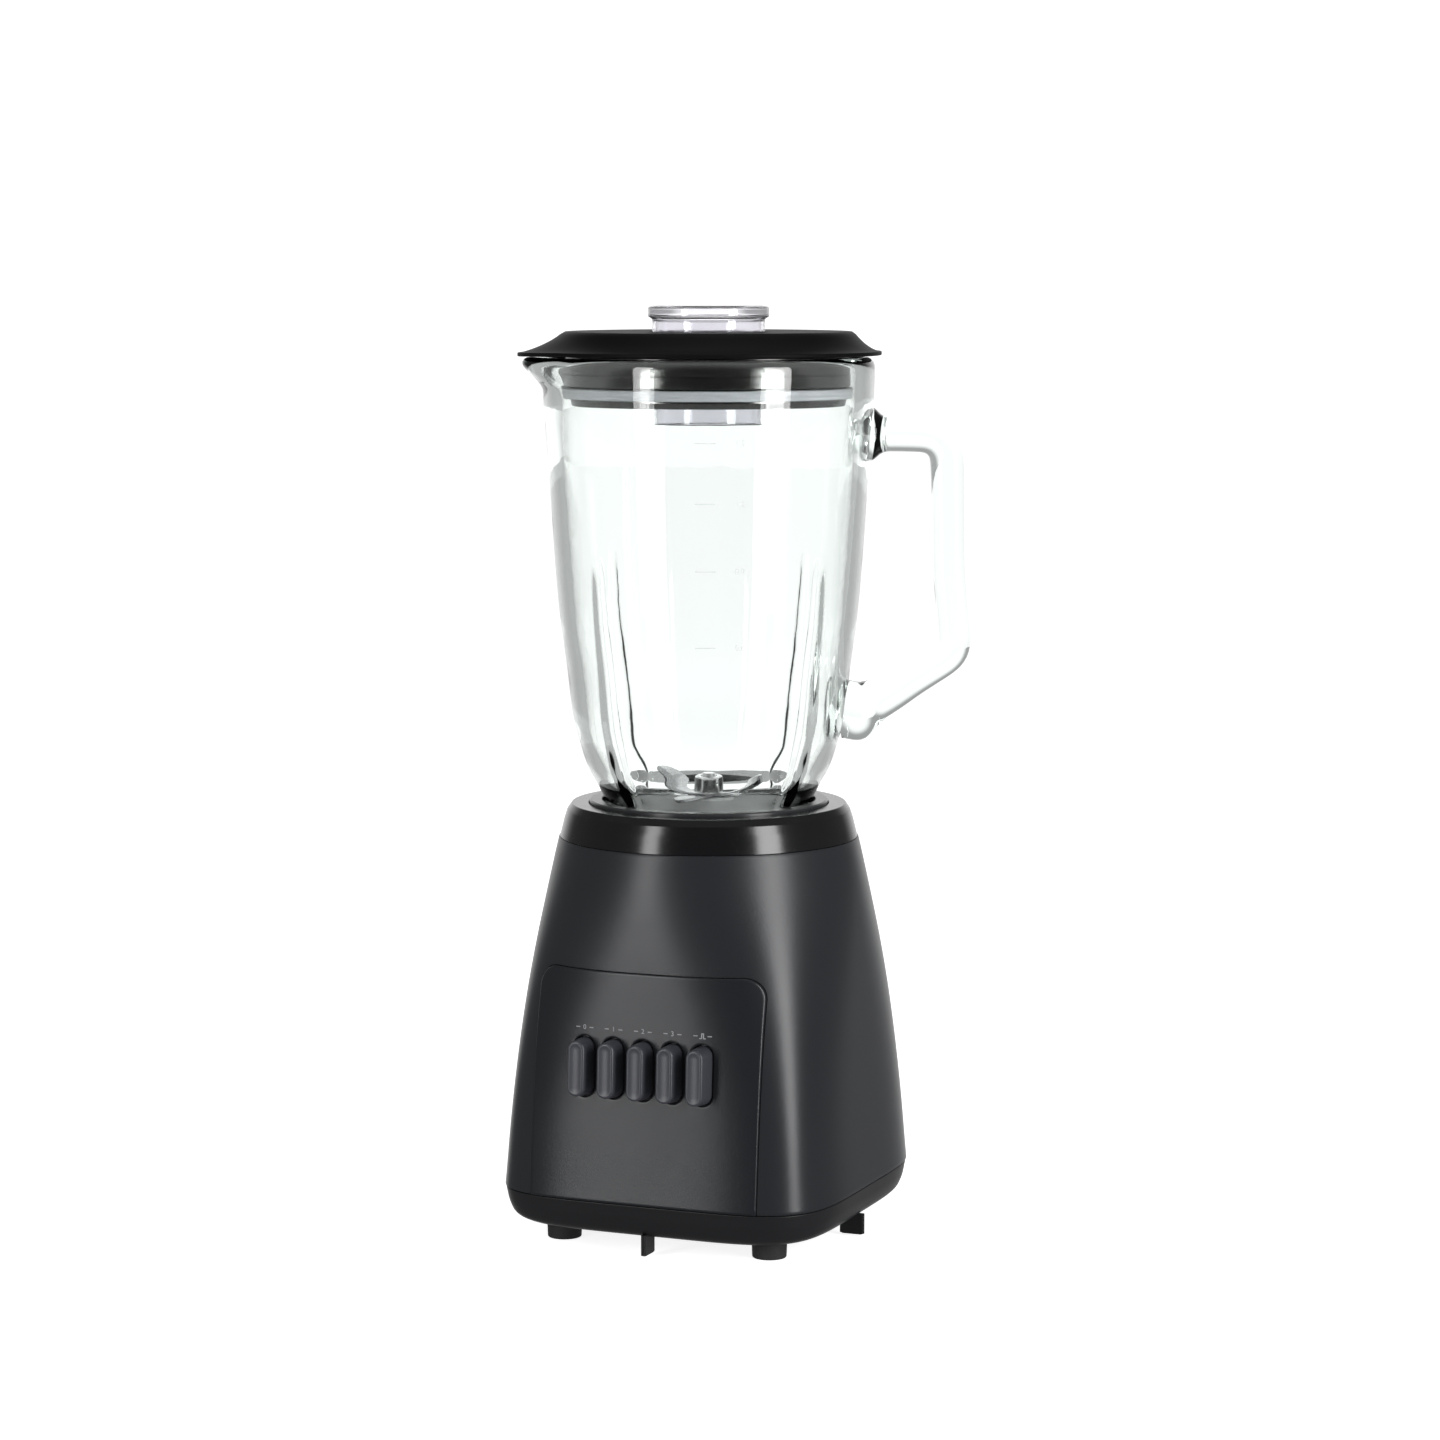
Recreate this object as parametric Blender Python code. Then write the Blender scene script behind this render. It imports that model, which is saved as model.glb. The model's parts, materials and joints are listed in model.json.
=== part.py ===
"""Countertop blender: square motor base, round glass jar with a side handle, black lid and clear filler cap.

Metres, +Z up. The control panel faces -Y. The turning axis of the motor, blades and jar is vertical
through the empty blender_axis, and every piece is a child of that empty.
"""

import math

import bmesh
import bpy
from mathutils import Matrix, Vector

# Place of the turning axis, so that the origin is the middle of the bounding box's underside.
AXIS_X = -0.01355
AXIS_Y = 0.00217
GAP = 0.0003

# The jar's handle points this way from the axis, and the spout points the opposite way.
HANDLE_TURN = math.radians(22.5)
SPOUT_TURN = HANDLE_TURN + math.pi
FLUTE_TURN = math.radians(45)

# Base: heights and half-widths.
FOOT_RADIUS = 0.0075
FOOT_HOLE = 0.0038
FOOT_REACH = 0.047
COVER_BOTTOM = 0.008
COVER_FLOOR = 0.0105
SEAM_Z = 0.023
HOUSING_TOP = 0.1693
WALL = 0.0028
HOUSING_HALF = [
    (0.0233, 0.0744), (0.045, 0.0730), (0.072, 0.0711), (0.105, 0.0698), (0.1286, 0.0687),
    (0.1494, 0.0673), (0.160, 0.0660), (0.1693, 0.0639),
]
ROUND_ABOVE = 0.168
SQUARE_BELOW = 0.040
SQUARE_POWER = 5.0

# Control panel and its five keys.
PANEL_HALF = 0.051
PANEL_TOP = 0.120
PANEL_CORNER = 0.009
PANEL_PROUD = 0.0008
PANEL_THICK = 0.0017
KEY_NAMES = ["key_off", "key_1", "key_2", "key_3", "key_pulse"]
KEY_PITCH = 0.0133
KEY_Z = 0.0798
KEY_HEIGHT = 0.0243
KEY_WIDTH = 0.0086
KEY_PROUD = 0.0088
KEY_SLOT_EXTRA = 0.0006

# Seat of the jar in the top of the base.
SEAT_INNER = 0.0456
SEAT_OUTER = 0.0510
SEAT_TOP = 0.1852
SEAT_FLOOR = 0.1500
DECK_Z = 0.1836

# Motor, from the bottom up.
SHAFT_RADIUS = 0.004
STATOR_BOTTOM = 0.085
STATOR_TOP = 0.117
STATOR_HALF_X = 0.040
STATOR_HALF_Y = 0.032
STATOR_BORE = 0.0205
ARMATURE_RADIUS = 0.0190
BOLT_REACH = 0.036
BEARING_OUTER = 0.0110
BRUSH_Z = 0.0700

# Jar, lid and cap.
JAR_FLOOR = 0.184
JAR_RIM = 0.3730
FLUTE_TOP = 0.291
FLUTE_DEPTH = 0.0042
SPOUT_REACH = 0.0092
LID_TOP = 0.3837
CAP_TOP = 0.3946
JAR_STEPS = 56
BODY_STEPS = 40


# ---------------------------------------------------------------- materials

def plastic(name, colour, roughness, metallic=0.0, transmission=0.0):
    material = bpy.data.materials.new(name)
    material.use_nodes = True
    shader = material.node_tree.nodes["Principled BSDF"]
    shader.inputs["Base Color"].default_value = (*colour, 1.0)
    shader.inputs["Roughness"].default_value = roughness
    shader.inputs["Metallic"].default_value = metallic
    shader.inputs["Transmission Weight"].default_value = transmission
    material.diffuse_color = (*colour, 1.0)
    return material


def make_materials():
    return {
        "housing": plastic("housing_black", (0.030, 0.031, 0.035), 0.34),
        "panel": plastic("panel_black", (0.016, 0.017, 0.020), 0.25),
        "keys": plastic("key_grey", (0.060, 0.063, 0.072), 0.38),
        "lid": plastic("lid_black", (0.020, 0.020, 0.024), 0.33),
        "band": plastic("polished_band", (0.60, 0.60, 0.62), 0.10, metallic=1.0),
        "seal": plastic("grey_silicone", (0.42, 0.43, 0.45), 0.45),
        "glass": plastic("jar_glass", (0.93, 0.97, 0.96), 0.02, transmission=1.0),
        "clear": plastic("clear_plastic", (0.92, 0.92, 0.95), 0.05, transmission=1.0),
        "steel": plastic("brushed_steel", (0.62, 0.62, 0.63), 0.22, metallic=1.0),
        "copper": plastic("enamelled_copper", (0.55, 0.20, 0.07), 0.35, metallic=1.0),
        "laminate": plastic("laminated_iron", (0.22, 0.22, 0.23), 0.5, metallic=1.0),
        "carbon": plastic("carbon", (0.02, 0.02, 0.02), 0.6),
        "board": plastic("circuit_green", (0.02, 0.13, 0.06), 0.5),
        "nylon": plastic("white_nylon", (0.75, 0.75, 0.73), 0.5),
        "rubber": plastic("black_rubber", (0.018, 0.018, 0.018), 0.8),
    }


# ---------------------------------------------------------------- shape helpers

def value_at(knots, place):
    """Straight reading between (place, value) knots."""
    if place <= knots[0][0]:
        return knots[0][1]
    for (low, first), (high, second) in zip(knots, knots[1:]):
        if place <= high:
            return first + (second - first) * (place - low) / (high - low)
    return knots[-1][1]


def ease(low, high, value):
    t = min(1.0, max(0.0, (value - low) / (high - low)))
    return t * t * (3 - 2 * t)


def circle(steps, radius, z):
    angles = [2 * math.pi * i / steps for i in range(steps)]
    return [Vector((radius * math.cos(a), radius * math.sin(a), z)) for a in angles]


def capsule(width, height, z, steps=4):
    """Upright outline with half-round ends, in the local XY plane at height z."""
    radius = width / 2
    reach = height / 2 - radius
    points = []
    for side in (1, -1):
        for i in range(steps + 1):
            a = math.pi * i / steps
            points.append(Vector((side * radius * math.cos(a), side * (reach + radius * math.sin(a)), z)))
    return points


def rounded_box_outline(half_x, half_y, corner, z, steps=3):
    points = []
    for quarter in range(4):
        centre_x = (half_x - corner) * (1, -1, -1, 1)[quarter]
        centre_y = (half_y - corner) * (1, 1, -1, -1)[quarter]
        for i in range(steps + 1):
            a = math.pi / 2 * (quarter + i / steps)
            points.append(Vector((centre_x + corner * math.cos(a), centre_y + corner * math.sin(a), z)))
    return points


def mesh_of_rings(rings, closed_loop):
    """Rings of equal length joined in order. The last joins the first, or both ends are capped."""
    bm = bmesh.new()
    made = [[bm.verts.new(point) for point in ring] for ring in rings]
    pairs = list(zip(made, made[1:]))
    if closed_loop:
        pairs.append((made[-1], made[0]))
    else:
        bm.faces.new(made[0])
        bm.faces.new(made[-1])
    for lower, upper in pairs:
        for i in range(len(lower)):
            j = (i + 1) % len(lower)
            bm.faces.new((lower[i], lower[j], upper[j], upper[i]))
    bmesh.ops.recalc_face_normals(bm, faces=bm.faces)
    return bm


def add_box(bm, low, high):
    centre = [(a + b) / 2 for a, b in zip(low, high)]
    size = [b - a for a, b in zip(low, high)]
    place = Matrix.Translation(centre) @ Matrix.Diagonal((*size, 1.0))
    bmesh.ops.create_cube(bm, size=1.0, matrix=place)


def add_cylinder(bm, x, y, low, high, radius, steps=16):
    place = Matrix.Translation((x, y, (low + high) / 2))
    bmesh.ops.create_cone(
        bm, cap_ends=True, segments=steps, radius1=radius, radius2=radius, depth=high - low, matrix=place
    )


class Builder:
    """Makes named objects under the blender_axis empty."""

    def __init__(self):
        self.materials = make_materials()
        self.axis = bpy.data.objects.new("blender_axis", None)
        self.axis.location = (AXIS_X, AXIS_Y, 0.0)
        bpy.context.scene.collection.objects.link(self.axis)

    def piece(self, name, bm, material=None, location=(0, 0, 0), tilt=0.0):
        mesh = bpy.data.meshes.new(name)
        bm.to_mesh(mesh)
        bm.free()
        mesh.shade_smooth()
        mesh.set_sharp_from_angle(angle=math.radians(32))
        made = bpy.data.objects.new(name, mesh)
        bpy.context.scene.collection.objects.link(made)
        made.parent = self.axis
        made.location = location
        made.rotation_euler = (tilt, 0.0, 0.0)
        if material:
            mesh.materials.append(self.materials[material])
        return made

    def turned(self, name, outline, steps, material):
        """A closed outline of (radius, z) turned about the axis. It never touches the axis."""
        rings = [circle(steps, radius, z) for radius, z in outline]
        return self.piece(name, mesh_of_rings(rings, True), material)

    def stacked(self, name, outline, steps, material, location=(0, 0, 0)):
        """A solid of revolution with a flat bottom and top, from (radius, z) bottom to top."""
        rings = [circle(steps, radius, z) for radius, z in outline]
        return self.piece(name, mesh_of_rings(rings, False), material, location)

    def helper(self, name, bm, location=(0, 0, 0), tilt=0.0):
        made = self.piece(name, bm, None, location, tilt)
        made.hide_render = True
        made.display_type = "WIRE"
        return made

    def combine(self, target, tool, operation):
        modifier = target.modifiers.new(tool.name, "BOOLEAN")
        modifier.operation = operation
        modifier.object = tool


# ---------------------------------------------------------------- base housing

def squareness(z):
    return 2 + (SQUARE_POWER - 2) * (1 - ease(SQUARE_BELOW, ROUND_ABOVE, z))


def body_ring(half, power, z, steps=BODY_STEPS):
    """A ring between a circle (power 2) and a rounded square, with half as its half-width."""
    points = []
    for i in range(steps):
        a = 2 * math.pi * i / steps
        spread = abs(math.cos(a)) ** power + abs(math.sin(a)) ** power
        radius = half / spread ** (1 / power)
        points.append(Vector((radius * math.cos(a), radius * math.sin(a), z)))
    return points


def housing_ring(z, proud=0.0):
    return body_ring(value_at(HOUSING_HALF, z) + proud, squareness(z), z)


def front_at(z, proud=0.0):
    return -(value_at(HOUSING_HALF, z) + proud)


def key_tilt():
    """How far the front leans back where the keys are."""
    rise = 0.02
    lean = front_at(KEY_Z + rise / 2) - front_at(KEY_Z - rise / 2)
    return math.atan2(lean, rise)


def key_places():
    first = -KEY_PITCH * (len(KEY_NAMES) - 1) / 2
    return [(first + KEY_PITCH * i, front_at(KEY_Z, PANEL_PROUD), KEY_Z) for i in range(len(KEY_NAMES))]


def panel_prism(grow, low):
    """The panel's outline seen from the front, run through the front wall."""
    corner = PANEL_CORNER + grow
    half = PANEL_HALF + grow
    top = PANEL_TOP + grow
    outline = [(half, low)]
    for side in (1, -1):
        for i in range(7):
            a = math.pi / 2 * (i / 6 if side == 1 else 1 - i / 6)
            across = half - corner + corner * math.cos(a)
            outline.append((side * across, top - corner + corner * math.sin(a)))
    outline.append((-half, low))
    rings = [[Vector((x, y, z)) for x, z in outline] for y in (-0.090, -0.045)]
    return mesh_of_rings(rings, False)


def body_shell(low, high, outer, inner):
    """The housing's own form between two offsets from its surface."""
    heights = [low] + [z for z, _ in HOUSING_HALF if low < z < high] + [high]
    rings = [housing_ring(z, outer) for z in heights]
    rings += [housing_ring(z, inner) for z in reversed(heights)]
    return mesh_of_rings(rings, True)


def make_housing(build):
    housing = build.piece("housing", body_shell(SEAM_Z + GAP, HOUSING_TOP, 0.0, -WALL), "housing")
    pocket = build.helper("panel_pocket", body_shell(0.020, 0.1290, 0.004, -PANEL_THICK + PANEL_PROUD - GAP))
    build.combine(pocket, build.helper("panel_pocket_edge", panel_prism(GAP, 0.015)), "INTERSECT")
    build.combine(housing, pocket, "DIFFERENCE")
    window = bmesh.new()
    reach = KEY_PITCH * 2 + 0.0068
    add_box(window, (-reach, -0.085, KEY_Z - 0.0165), (reach, -0.050, KEY_Z + 0.0165))
    add_cylinder_y(window, 0.0, 0.034, 0.060, 0.085, 0.0053)
    build.combine(housing, build.helper("key_window", window), "DIFFERENCE")
    posts = bmesh.new()
    for x, y in corner_places(FOOT_REACH):
        post_outline(posts, x, y)
    bmesh.ops.recalc_face_normals(posts, faces=posts.faces)
    build.combine(housing, build.helper("screw_posts", posts), "UNION")
    bores = bmesh.new()
    for x, y in corner_places(FOOT_REACH):
        add_cylinder(bores, x, y, 0.0145, 0.0462, 0.00185, 10)
    build.combine(housing, build.helper("screw_bores", bores), "DIFFERENCE")


def add_cylinder_y(bm, x, z, low, high, radius, steps=20):
    place = Matrix.Translation((x, (low + high) / 2, z)) @ Matrix.Rotation(math.pi / 2, 4, "X")
    bmesh.ops.create_cone(
        bm, cap_ends=True, segments=steps, radius1=radius, radius2=radius, depth=high - low, matrix=place
    )


def corner_places(reach):
    return [(x * reach, y * reach) for x, y in ((1, 1), (-1, 1), (-1, -1), (1, -1))]


def post_outline(bm, x, y):
    """A screw post with a rib that runs out to the corner wall."""
    outward = math.atan2(y, x)
    centre = Vector((x, y, 0.0))
    along = Vector((math.cos(outward), math.sin(outward), 0.0))
    across = Vector((-along.y, along.x, 0.0))
    profile = [centre + along * 0.0222 + across * 0.0022]
    for i in range(9):
        a = math.radians(35 + 290 * i / 8)
        profile.append(centre + (along * math.cos(a) + across * math.sin(a)) * 0.0045)
    profile.append(centre + along * 0.0222 - across * 0.0022)
    rings = [[bm.verts.new(point + Vector((0, 0, z))) for point in profile] for z in (0.0240, 0.050)]
    bm.faces.new(rings[0])
    bm.faces.new(rings[1])
    for i in range(len(profile)):
        j = (i + 1) % len(profile)
        bm.faces.new((rings[0][i], rings[0][j], rings[1][j], rings[1][i]))


def make_control_panel(build):
    panel = build.piece("control_panel", body_shell(0.0218, 0.1285, PANEL_PROUD, PANEL_PROUD - PANEL_THICK), "panel")
    build.combine(panel, build.helper("panel_edge", panel_prism(0.0, SEAM_Z + GAP)), "INTERSECT")
    for name, place in zip(KEY_NAMES, key_places()):
        width = KEY_WIDTH + 2 * KEY_SLOT_EXTRA
        height = KEY_HEIGHT + 2 * KEY_SLOT_EXTRA
        rings = [capsule(width, height, z) for z in (-0.006, 0.004)]
        tilt = math.pi / 2 - key_tilt()
        slot = build.helper(name + "_slot", mesh_of_rings(rings, False), place, tilt)
        build.combine(panel, slot, "DIFFERENCE")


def make_keys(build):
    """Each key: a retaining flange behind the panel, a tapered side and a rounded face."""
    sections = [
        (KEY_WIDTH - 0.004, KEY_HEIGHT - 0.012, -0.0080),
        (KEY_WIDTH - 0.004, KEY_HEIGHT - 0.012, -0.0050),
        (KEY_WIDTH + 0.0026, KEY_HEIGHT + 0.0026, -0.0048),
        (KEY_WIDTH + 0.0026, KEY_HEIGHT + 0.0026, -0.0033),
        (KEY_WIDTH, KEY_HEIGHT, -0.0031),
        (KEY_WIDTH, KEY_HEIGHT, 0.0005),
        (KEY_WIDTH - 0.0012, KEY_HEIGHT - 0.0012, KEY_PROUD - 0.0008),
        (KEY_WIDTH - 0.0026, KEY_HEIGHT - 0.0026, KEY_PROUD),
    ]
    for name, place in zip(KEY_NAMES, key_places()):
        rings = [capsule(width, height, z) for width, height, z in sections]
        build.piece(name, mesh_of_rings(rings, False), "keys", place, math.pi / 2 - key_tilt())


def make_top_collar(build):
    outline = [
        (0.0636, HOUSING_TOP + GAP), (0.0617, 0.1771), (0.0605, 0.1808), (0.0585, DECK_Z),
        (SEAT_OUTER + GAP, DECK_Z), (SEAT_OUTER + GAP, 0.1808), (0.0572, 0.1808), (0.0605, HOUSING_TOP + GAP),
    ]
    build.turned("top_collar", outline, BODY_STEPS, "lid")


def make_jar_seat(build):
    """Raised ring around the jar's foot, and the well below it that the jar's collar stands in."""
    outline = [
        (SEAT_INNER, SEAT_FLOOR), (SEAT_INNER, SEAT_TOP), (SEAT_OUTER - 0.0006, SEAT_TOP),
        (SEAT_OUTER, SEAT_TOP - 0.0006), (SEAT_OUTER, 0.1804),
        (0.0568, 0.1804), (0.0568, 0.1784), (SEAT_INNER + 0.0026, 0.1784), (SEAT_INNER + 0.0026, SEAT_FLOOR - 0.003),
        (0.0160, SEAT_FLOOR - 0.003), (0.0160, SEAT_FLOOR),
    ]
    build.turned("jar_seat", outline, 32, "lid")


def make_bottom_cover(build):
    """The tray under the housing, with vent slots, screw holes and four cord-wrap fins."""
    outer = [(0.0608, COVER_BOTTOM), (0.0665, 0.0084), (0.0708, 0.0112), (0.0731, 0.0165), (0.0742, SEAM_Z)]
    inner = [(0.0718, SEAM_Z), (0.0706, 0.0165), (0.0688, 0.0125), (0.0650, COVER_FLOOR)]
    rings = [body_ring(half, SQUARE_POWER, z) for half, z in outer + inner]
    cover = build.piece("bottom_cover", mesh_of_rings(rings, False), "lid")
    adds = bmesh.new()
    for x, y in ((1, 0), (-1, 0), (0, 1), (0, -1)):
        reach = 0.0055 if x else 0.0010
        width = 0.0055 if y else 0.0010
        centre_x = x * 0.0662
        centre_y = y * 0.0662
        low = (centre_x - reach, centre_y - width, 0.0010)
        add_box(adds, low, (centre_x + reach, centre_y + width, 0.0116))
    for x, y in mount_places():
        add_cylinder(adds, x, y, COVER_BOTTOM + 0.001, 0.0396, 0.0055, 14)
    build.combine(cover, build.helper("cover_fins", adds), "UNION")
    cuts = bmesh.new()
    for i in range(7):
        x = (i - 3) * 0.0075
        add_box(cuts, (x - 0.0015, -0.020, 0.0), (x + 0.0015, 0.020, 0.015))
    for x, y in corner_places(FOOT_REACH):
        add_cylinder(cuts, x, y, 0.0, 0.016, 0.0019, 12)
    build.combine(cover, build.helper("cover_slots", cuts), "DIFFERENCE")


def make_feet(build):
    top = COVER_BOTTOM - GAP
    outline = [
        (FOOT_RADIUS, top), (FOOT_RADIUS, 0.0008), (FOOT_RADIUS - 0.0008, 0.0), (FOOT_HOLE, 0.0), (FOOT_HOLE, top),
    ]
    for number, (x, y) in enumerate(corner_places(FOOT_REACH), 1):
        rings = [circle(16, radius, z) for radius, z in outline]
        build.piece(f"foot_{number}", mesh_of_rings(rings, True), "rubber", (x, y, 0.0))


def make_case_screws(build):
    outline = [
        (0.0030, 0.0048), (0.0034, COVER_BOTTOM - GAP), (0.0015, COVER_BOTTOM - GAP), (0.0015, 0.0425),
        (0.0004, 0.0440),
    ]
    for number, (x, y) in enumerate(corner_places(FOOT_REACH), 1):
        build.stacked(f"case_screw_{number}", outline, 10, "steel", (x, y, 0.0))


def make_cord_inlet(build):
    """Plain grommet in the rear wall, where the supply cord would enter."""
    rear = value_at(HOUSING_HALF, 0.034)
    outline = [
        (0.0026, -0.006), (0.0026, 0.0028), (0.0070, 0.0028), (0.0076, 0.0009),
        (0.0050, 0.0009), (0.0050, -0.006),
    ]
    rings = [circle(16, radius, z) for radius, z in outline]
    build.piece("cord_inlet_bush", mesh_of_rings(rings, True), "rubber", (0.0, rear, 0.034), -math.pi / 2)


# ---------------------------------------------------------------- motor

def mount_places():
    return [(x * 0.031, y * 0.018) for x, y in ((1, 1), (-1, 1), (-1, -1), (1, -1))]


def bracket_mesh(plate_low, plate_high, leg_end, half_y):
    """A plate across the motor with a leg at each end that reaches the core."""
    bm = bmesh.new()
    inner = BOLT_REACH - 0.0035
    low = min(plate_high, leg_end)
    high = max(plate_low, leg_end)
    outline = [
        (-STATOR_HALF_X, leg_end), (-STATOR_HALF_X, plate_low if leg_end > plate_low else plate_high),
        (STATOR_HALF_X, plate_low if leg_end > plate_low else plate_high), (STATOR_HALF_X, leg_end),
        (inner, leg_end), (inner, low if leg_end > plate_low else high),
        (-inner, low if leg_end > plate_low else high), (-inner, leg_end),
    ]
    sides = [[bm.verts.new((x, y, z)) for x, z in outline] for y in (-half_y, half_y)]
    bm.faces.new(sides[0])
    bm.faces.new(sides[1])
    for i in range(len(outline)):
        j = (i + 1) % len(outline)
        bm.faces.new((sides[0][i], sides[0][j], sides[1][j], sides[1][i]))
    bmesh.ops.recalc_face_normals(bm, faces=bm.faces)
    return bm


def bolt_and_bearing_cutter(low, high):
    bm = bmesh.new()
    for side in (1, -1):
        add_cylinder(bm, side * BOLT_REACH, 0.0, low, high, 0.0020, 12)
    add_cylinder(bm, 0.0, 0.0, low, high, BEARING_OUTER + GAP, 28)
    return bm


def make_motor_brackets(build):
    lower = build.piece("motor_bottom_bracket", bracket_mesh(0.050, 0.055, STATOR_BOTTOM - GAP, 0.024), "steel")
    build.combine(lower, build.helper("lower_bracket_holes", bolt_and_bearing_cutter(0.045, 0.090)), "DIFFERENCE")
    upper = build.piece("motor_top_bracket", bracket_mesh(0.128, 0.132, STATOR_TOP + GAP, 0.014), "steel")
    build.combine(upper, build.helper("upper_bracket_holes", bolt_and_bearing_cutter(0.115, 0.136)), "DIFFERENCE")


def make_stator(build):
    rings = [
        rounded_box_outline(STATOR_HALF_X, STATOR_HALF_Y, 0.006, z) for z in (STATOR_BOTTOM, STATOR_TOP)
    ]
    core = build.piece("stator_core", mesh_of_rings(rings, False), "laminate")
    cuts = bmesh.new()
    add_cylinder(cuts, 0.0, 0.0, 0.080, 0.122, STATOR_BORE, 36)
    for side in (1, -1):
        add_cylinder(cuts, side * BOLT_REACH, 0.0, 0.080, 0.122, 0.0020, 12)
        for hand in (1, -1):
            low_x, high_x = sorted((side * 0.0235, side * 0.0308))
            low_y, high_y = sorted((hand * 0.0115, hand * 0.0260))
            add_box(cuts, (low_x, low_y, 0.080), (high_x, high_y, 0.122))
    build.combine(core, build.helper("core_slots", cuts), "DIFFERENCE")


def make_field_coils(build):
    """A flat racetrack coil around each pole: it stands in the core's slots, its end turns above and below."""
    middle = (STATOR_BOTTOM + STATOR_TOP) / 2
    for name, side in (("field_coil_right", 1), ("field_coil_left", -1)):
        near = side * 0.0238
        far = side * 0.0305
        outer = rounded_box_outline(0.0257, 0.0245, 0.007, 0.0)
        inner = rounded_box_outline(0.0122, 0.0170, 0.0004, 0.0)
        rings = []
        for outline, x in ((outer, near), (outer, far), (inner, far), (inner, near)):
            rings.append([Vector((x, point.x, middle + point.y)) for point in outline])
        build.piece(name, mesh_of_rings(rings, True), "copper")


def make_rotor(build):
    build.stacked(
        "rotor_shaft", [(0.0034, 0.0300), (SHAFT_RADIUS, 0.0306), (SHAFT_RADIUS, 0.1504), (0.0034, 0.1510)],
        20, "steel",
    )
    bore = SHAFT_RADIUS + GAP
    armature = [
        (bore, STATOR_BOTTOM), (ARMATURE_RADIUS, STATOR_BOTTOM), (ARMATURE_RADIUS, STATOR_TOP), (bore, STATOR_TOP),
    ]
    build.turned("armature_core", armature, 24, "laminate")
    lower = [(bore, 0.0790), (0.0145, 0.0790), (0.0172, 0.0815), (0.0172, STATOR_BOTTOM - GAP), (bore, STATOR_BOTTOM - GAP)]
    build.turned("armature_winding_lower", lower, 20, "copper")
    upper = [(bore, STATOR_TOP + GAP), (0.0172, STATOR_TOP + GAP), (0.0172, 0.1205), (0.0145, 0.1230), (bore, 0.1230)]
    build.turned("armature_winding_upper", upper, 20, "copper")
    commutator = [(bore, 0.0640), (0.0110, 0.0640), (0.0110, 0.0760), (0.0125, 0.0765), (0.0125, 0.0785), (bore, 0.0785)]
    build.turned("commutator", commutator, 20, "copper")
    make_fan(build, bore)
    drive = build.turned(
        "drive_coupler", [(bore, 0.1460), (0.0130, 0.1460), (0.0130, 0.1520), (bore, 0.1520)], 24, "nylon"
    )
    build.combine(drive, build.helper("drive_lugs", lug_mesh(0.1505, 0.1558, 0.0)), "UNION")


def make_fan(build, bore):
    hub = build.turned("cooling_fan", [(bore, 0.0340), (0.0280, 0.0340), (0.0280, 0.0356), (bore, 0.0356)], 24, "nylon")
    blades = bmesh.new()
    count = 7
    for i in range(count):
        turn = Matrix.Rotation(2 * math.pi * i / count, 4, "Z")
        size = Matrix.Diagonal((0.0190, 0.0014, 0.0090, 1.0))
        place = turn @ Matrix.Translation((0.0180, 0.0, 0.0395)) @ Matrix.Rotation(0.35, 4, "Z") @ size
        bmesh.ops.create_cube(blades, size=1.0, matrix=place)
    build.combine(hub, build.helper("fan_blades", blades), "UNION")


def lug_mesh(low, high, turn):
    """Three driving lugs in a ring."""
    bm = bmesh.new()
    for i in range(3):
        spin = Matrix.Rotation(turn + 2 * math.pi * i / 3, 4, "Z")
        size = Matrix.Diagonal((0.0055, 0.0060, high - low, 1.0))
        place = spin @ Matrix.Translation((0.0096, 0.0, (low + high) / 2)) @ size
        bmesh.ops.create_cube(bm, size=1.0, matrix=place)
    return bm


def make_bearings(build):
    bore = SHAFT_RADIUS + GAP
    for name, low in (("bearing_bottom", 0.0495), ("bearing_top", 0.1270)):
        outline = [(bore, low), (BEARING_OUTER, low), (BEARING_OUTER, low + 0.006), (bore, low + 0.006)]
        build.turned(name, outline, 20, "steel")


def upright_frame(half_x, half_z, y):
    """Four corners of a rectangle at the brushes' height, seen from the front."""
    return [
        Vector((x * half_x, y, BRUSH_Z + z * half_z)) for x, z in ((-1, -1), (1, -1), (1, 1), (-1, 1))
    ]


def make_brushes(build):
    """A carbon block on each side of the commutator, in a box that is open at both ends."""
    for name, side in (("right", 1), ("left", -1)):
        brush = bmesh.new()
        low_y, high_y = sorted((side * 0.0113, side * 0.0225))
        add_box(brush, (-0.0030, low_y, BRUSH_Z - 0.0035), (0.0030, high_y, BRUSH_Z + 0.0035))
        build.piece(f"carbon_brush_{name}", brush, "carbon")
        near, far = side * 0.0140, side * 0.0290
        outside = [upright_frame(0.0051, 0.005655, y) for y in (near, far)]
        inside = [upright_frame(0.0034, 0.0039, y) for y in (far, near)]
        build.piece(f"brush_holder_{name}", mesh_of_rings(outside + inside, True), "nylon")


def make_motor_fixings(build):
    for number, (x, y) in enumerate(mount_places(), 1):
        outline = [(0.0050, 0.0399), (0.0042, 0.0448), (0.0050, 0.0497)]
        build.stacked(f"motor_mount_{number}", outline, 12, "rubber", (x, y, 0.0))
    outline = [(0.0034, 0.0457), (0.0034, 0.0497), (0.0017, 0.0497), (0.0017, 0.1350)]
    for name, side in (("motor_bolt_right", 1), ("motor_bolt_left", -1)):
        build.stacked(name, outline, 12, "steel", (side * BOLT_REACH, 0.0, 0.0))


def make_switches(build):
    block = bmesh.new()
    add_box(block, (-0.034, -0.0578, 0.0660), (0.034, -0.0470, 0.0936))
    build.piece("switch_block", block, "nylon")
    board = bmesh.new()
    add_box(board, (-0.040, -0.0467, 0.0560), (0.040, -0.0451, 0.1040))
    build.piece("circuit_board", board, "board")


# ---------------------------------------------------------------- jar

def away(angle, centre):
    """Angle between two directions, 0 to pi."""
    return abs((angle - centre + math.pi) % (2 * math.pi) - math.pi)


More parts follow.
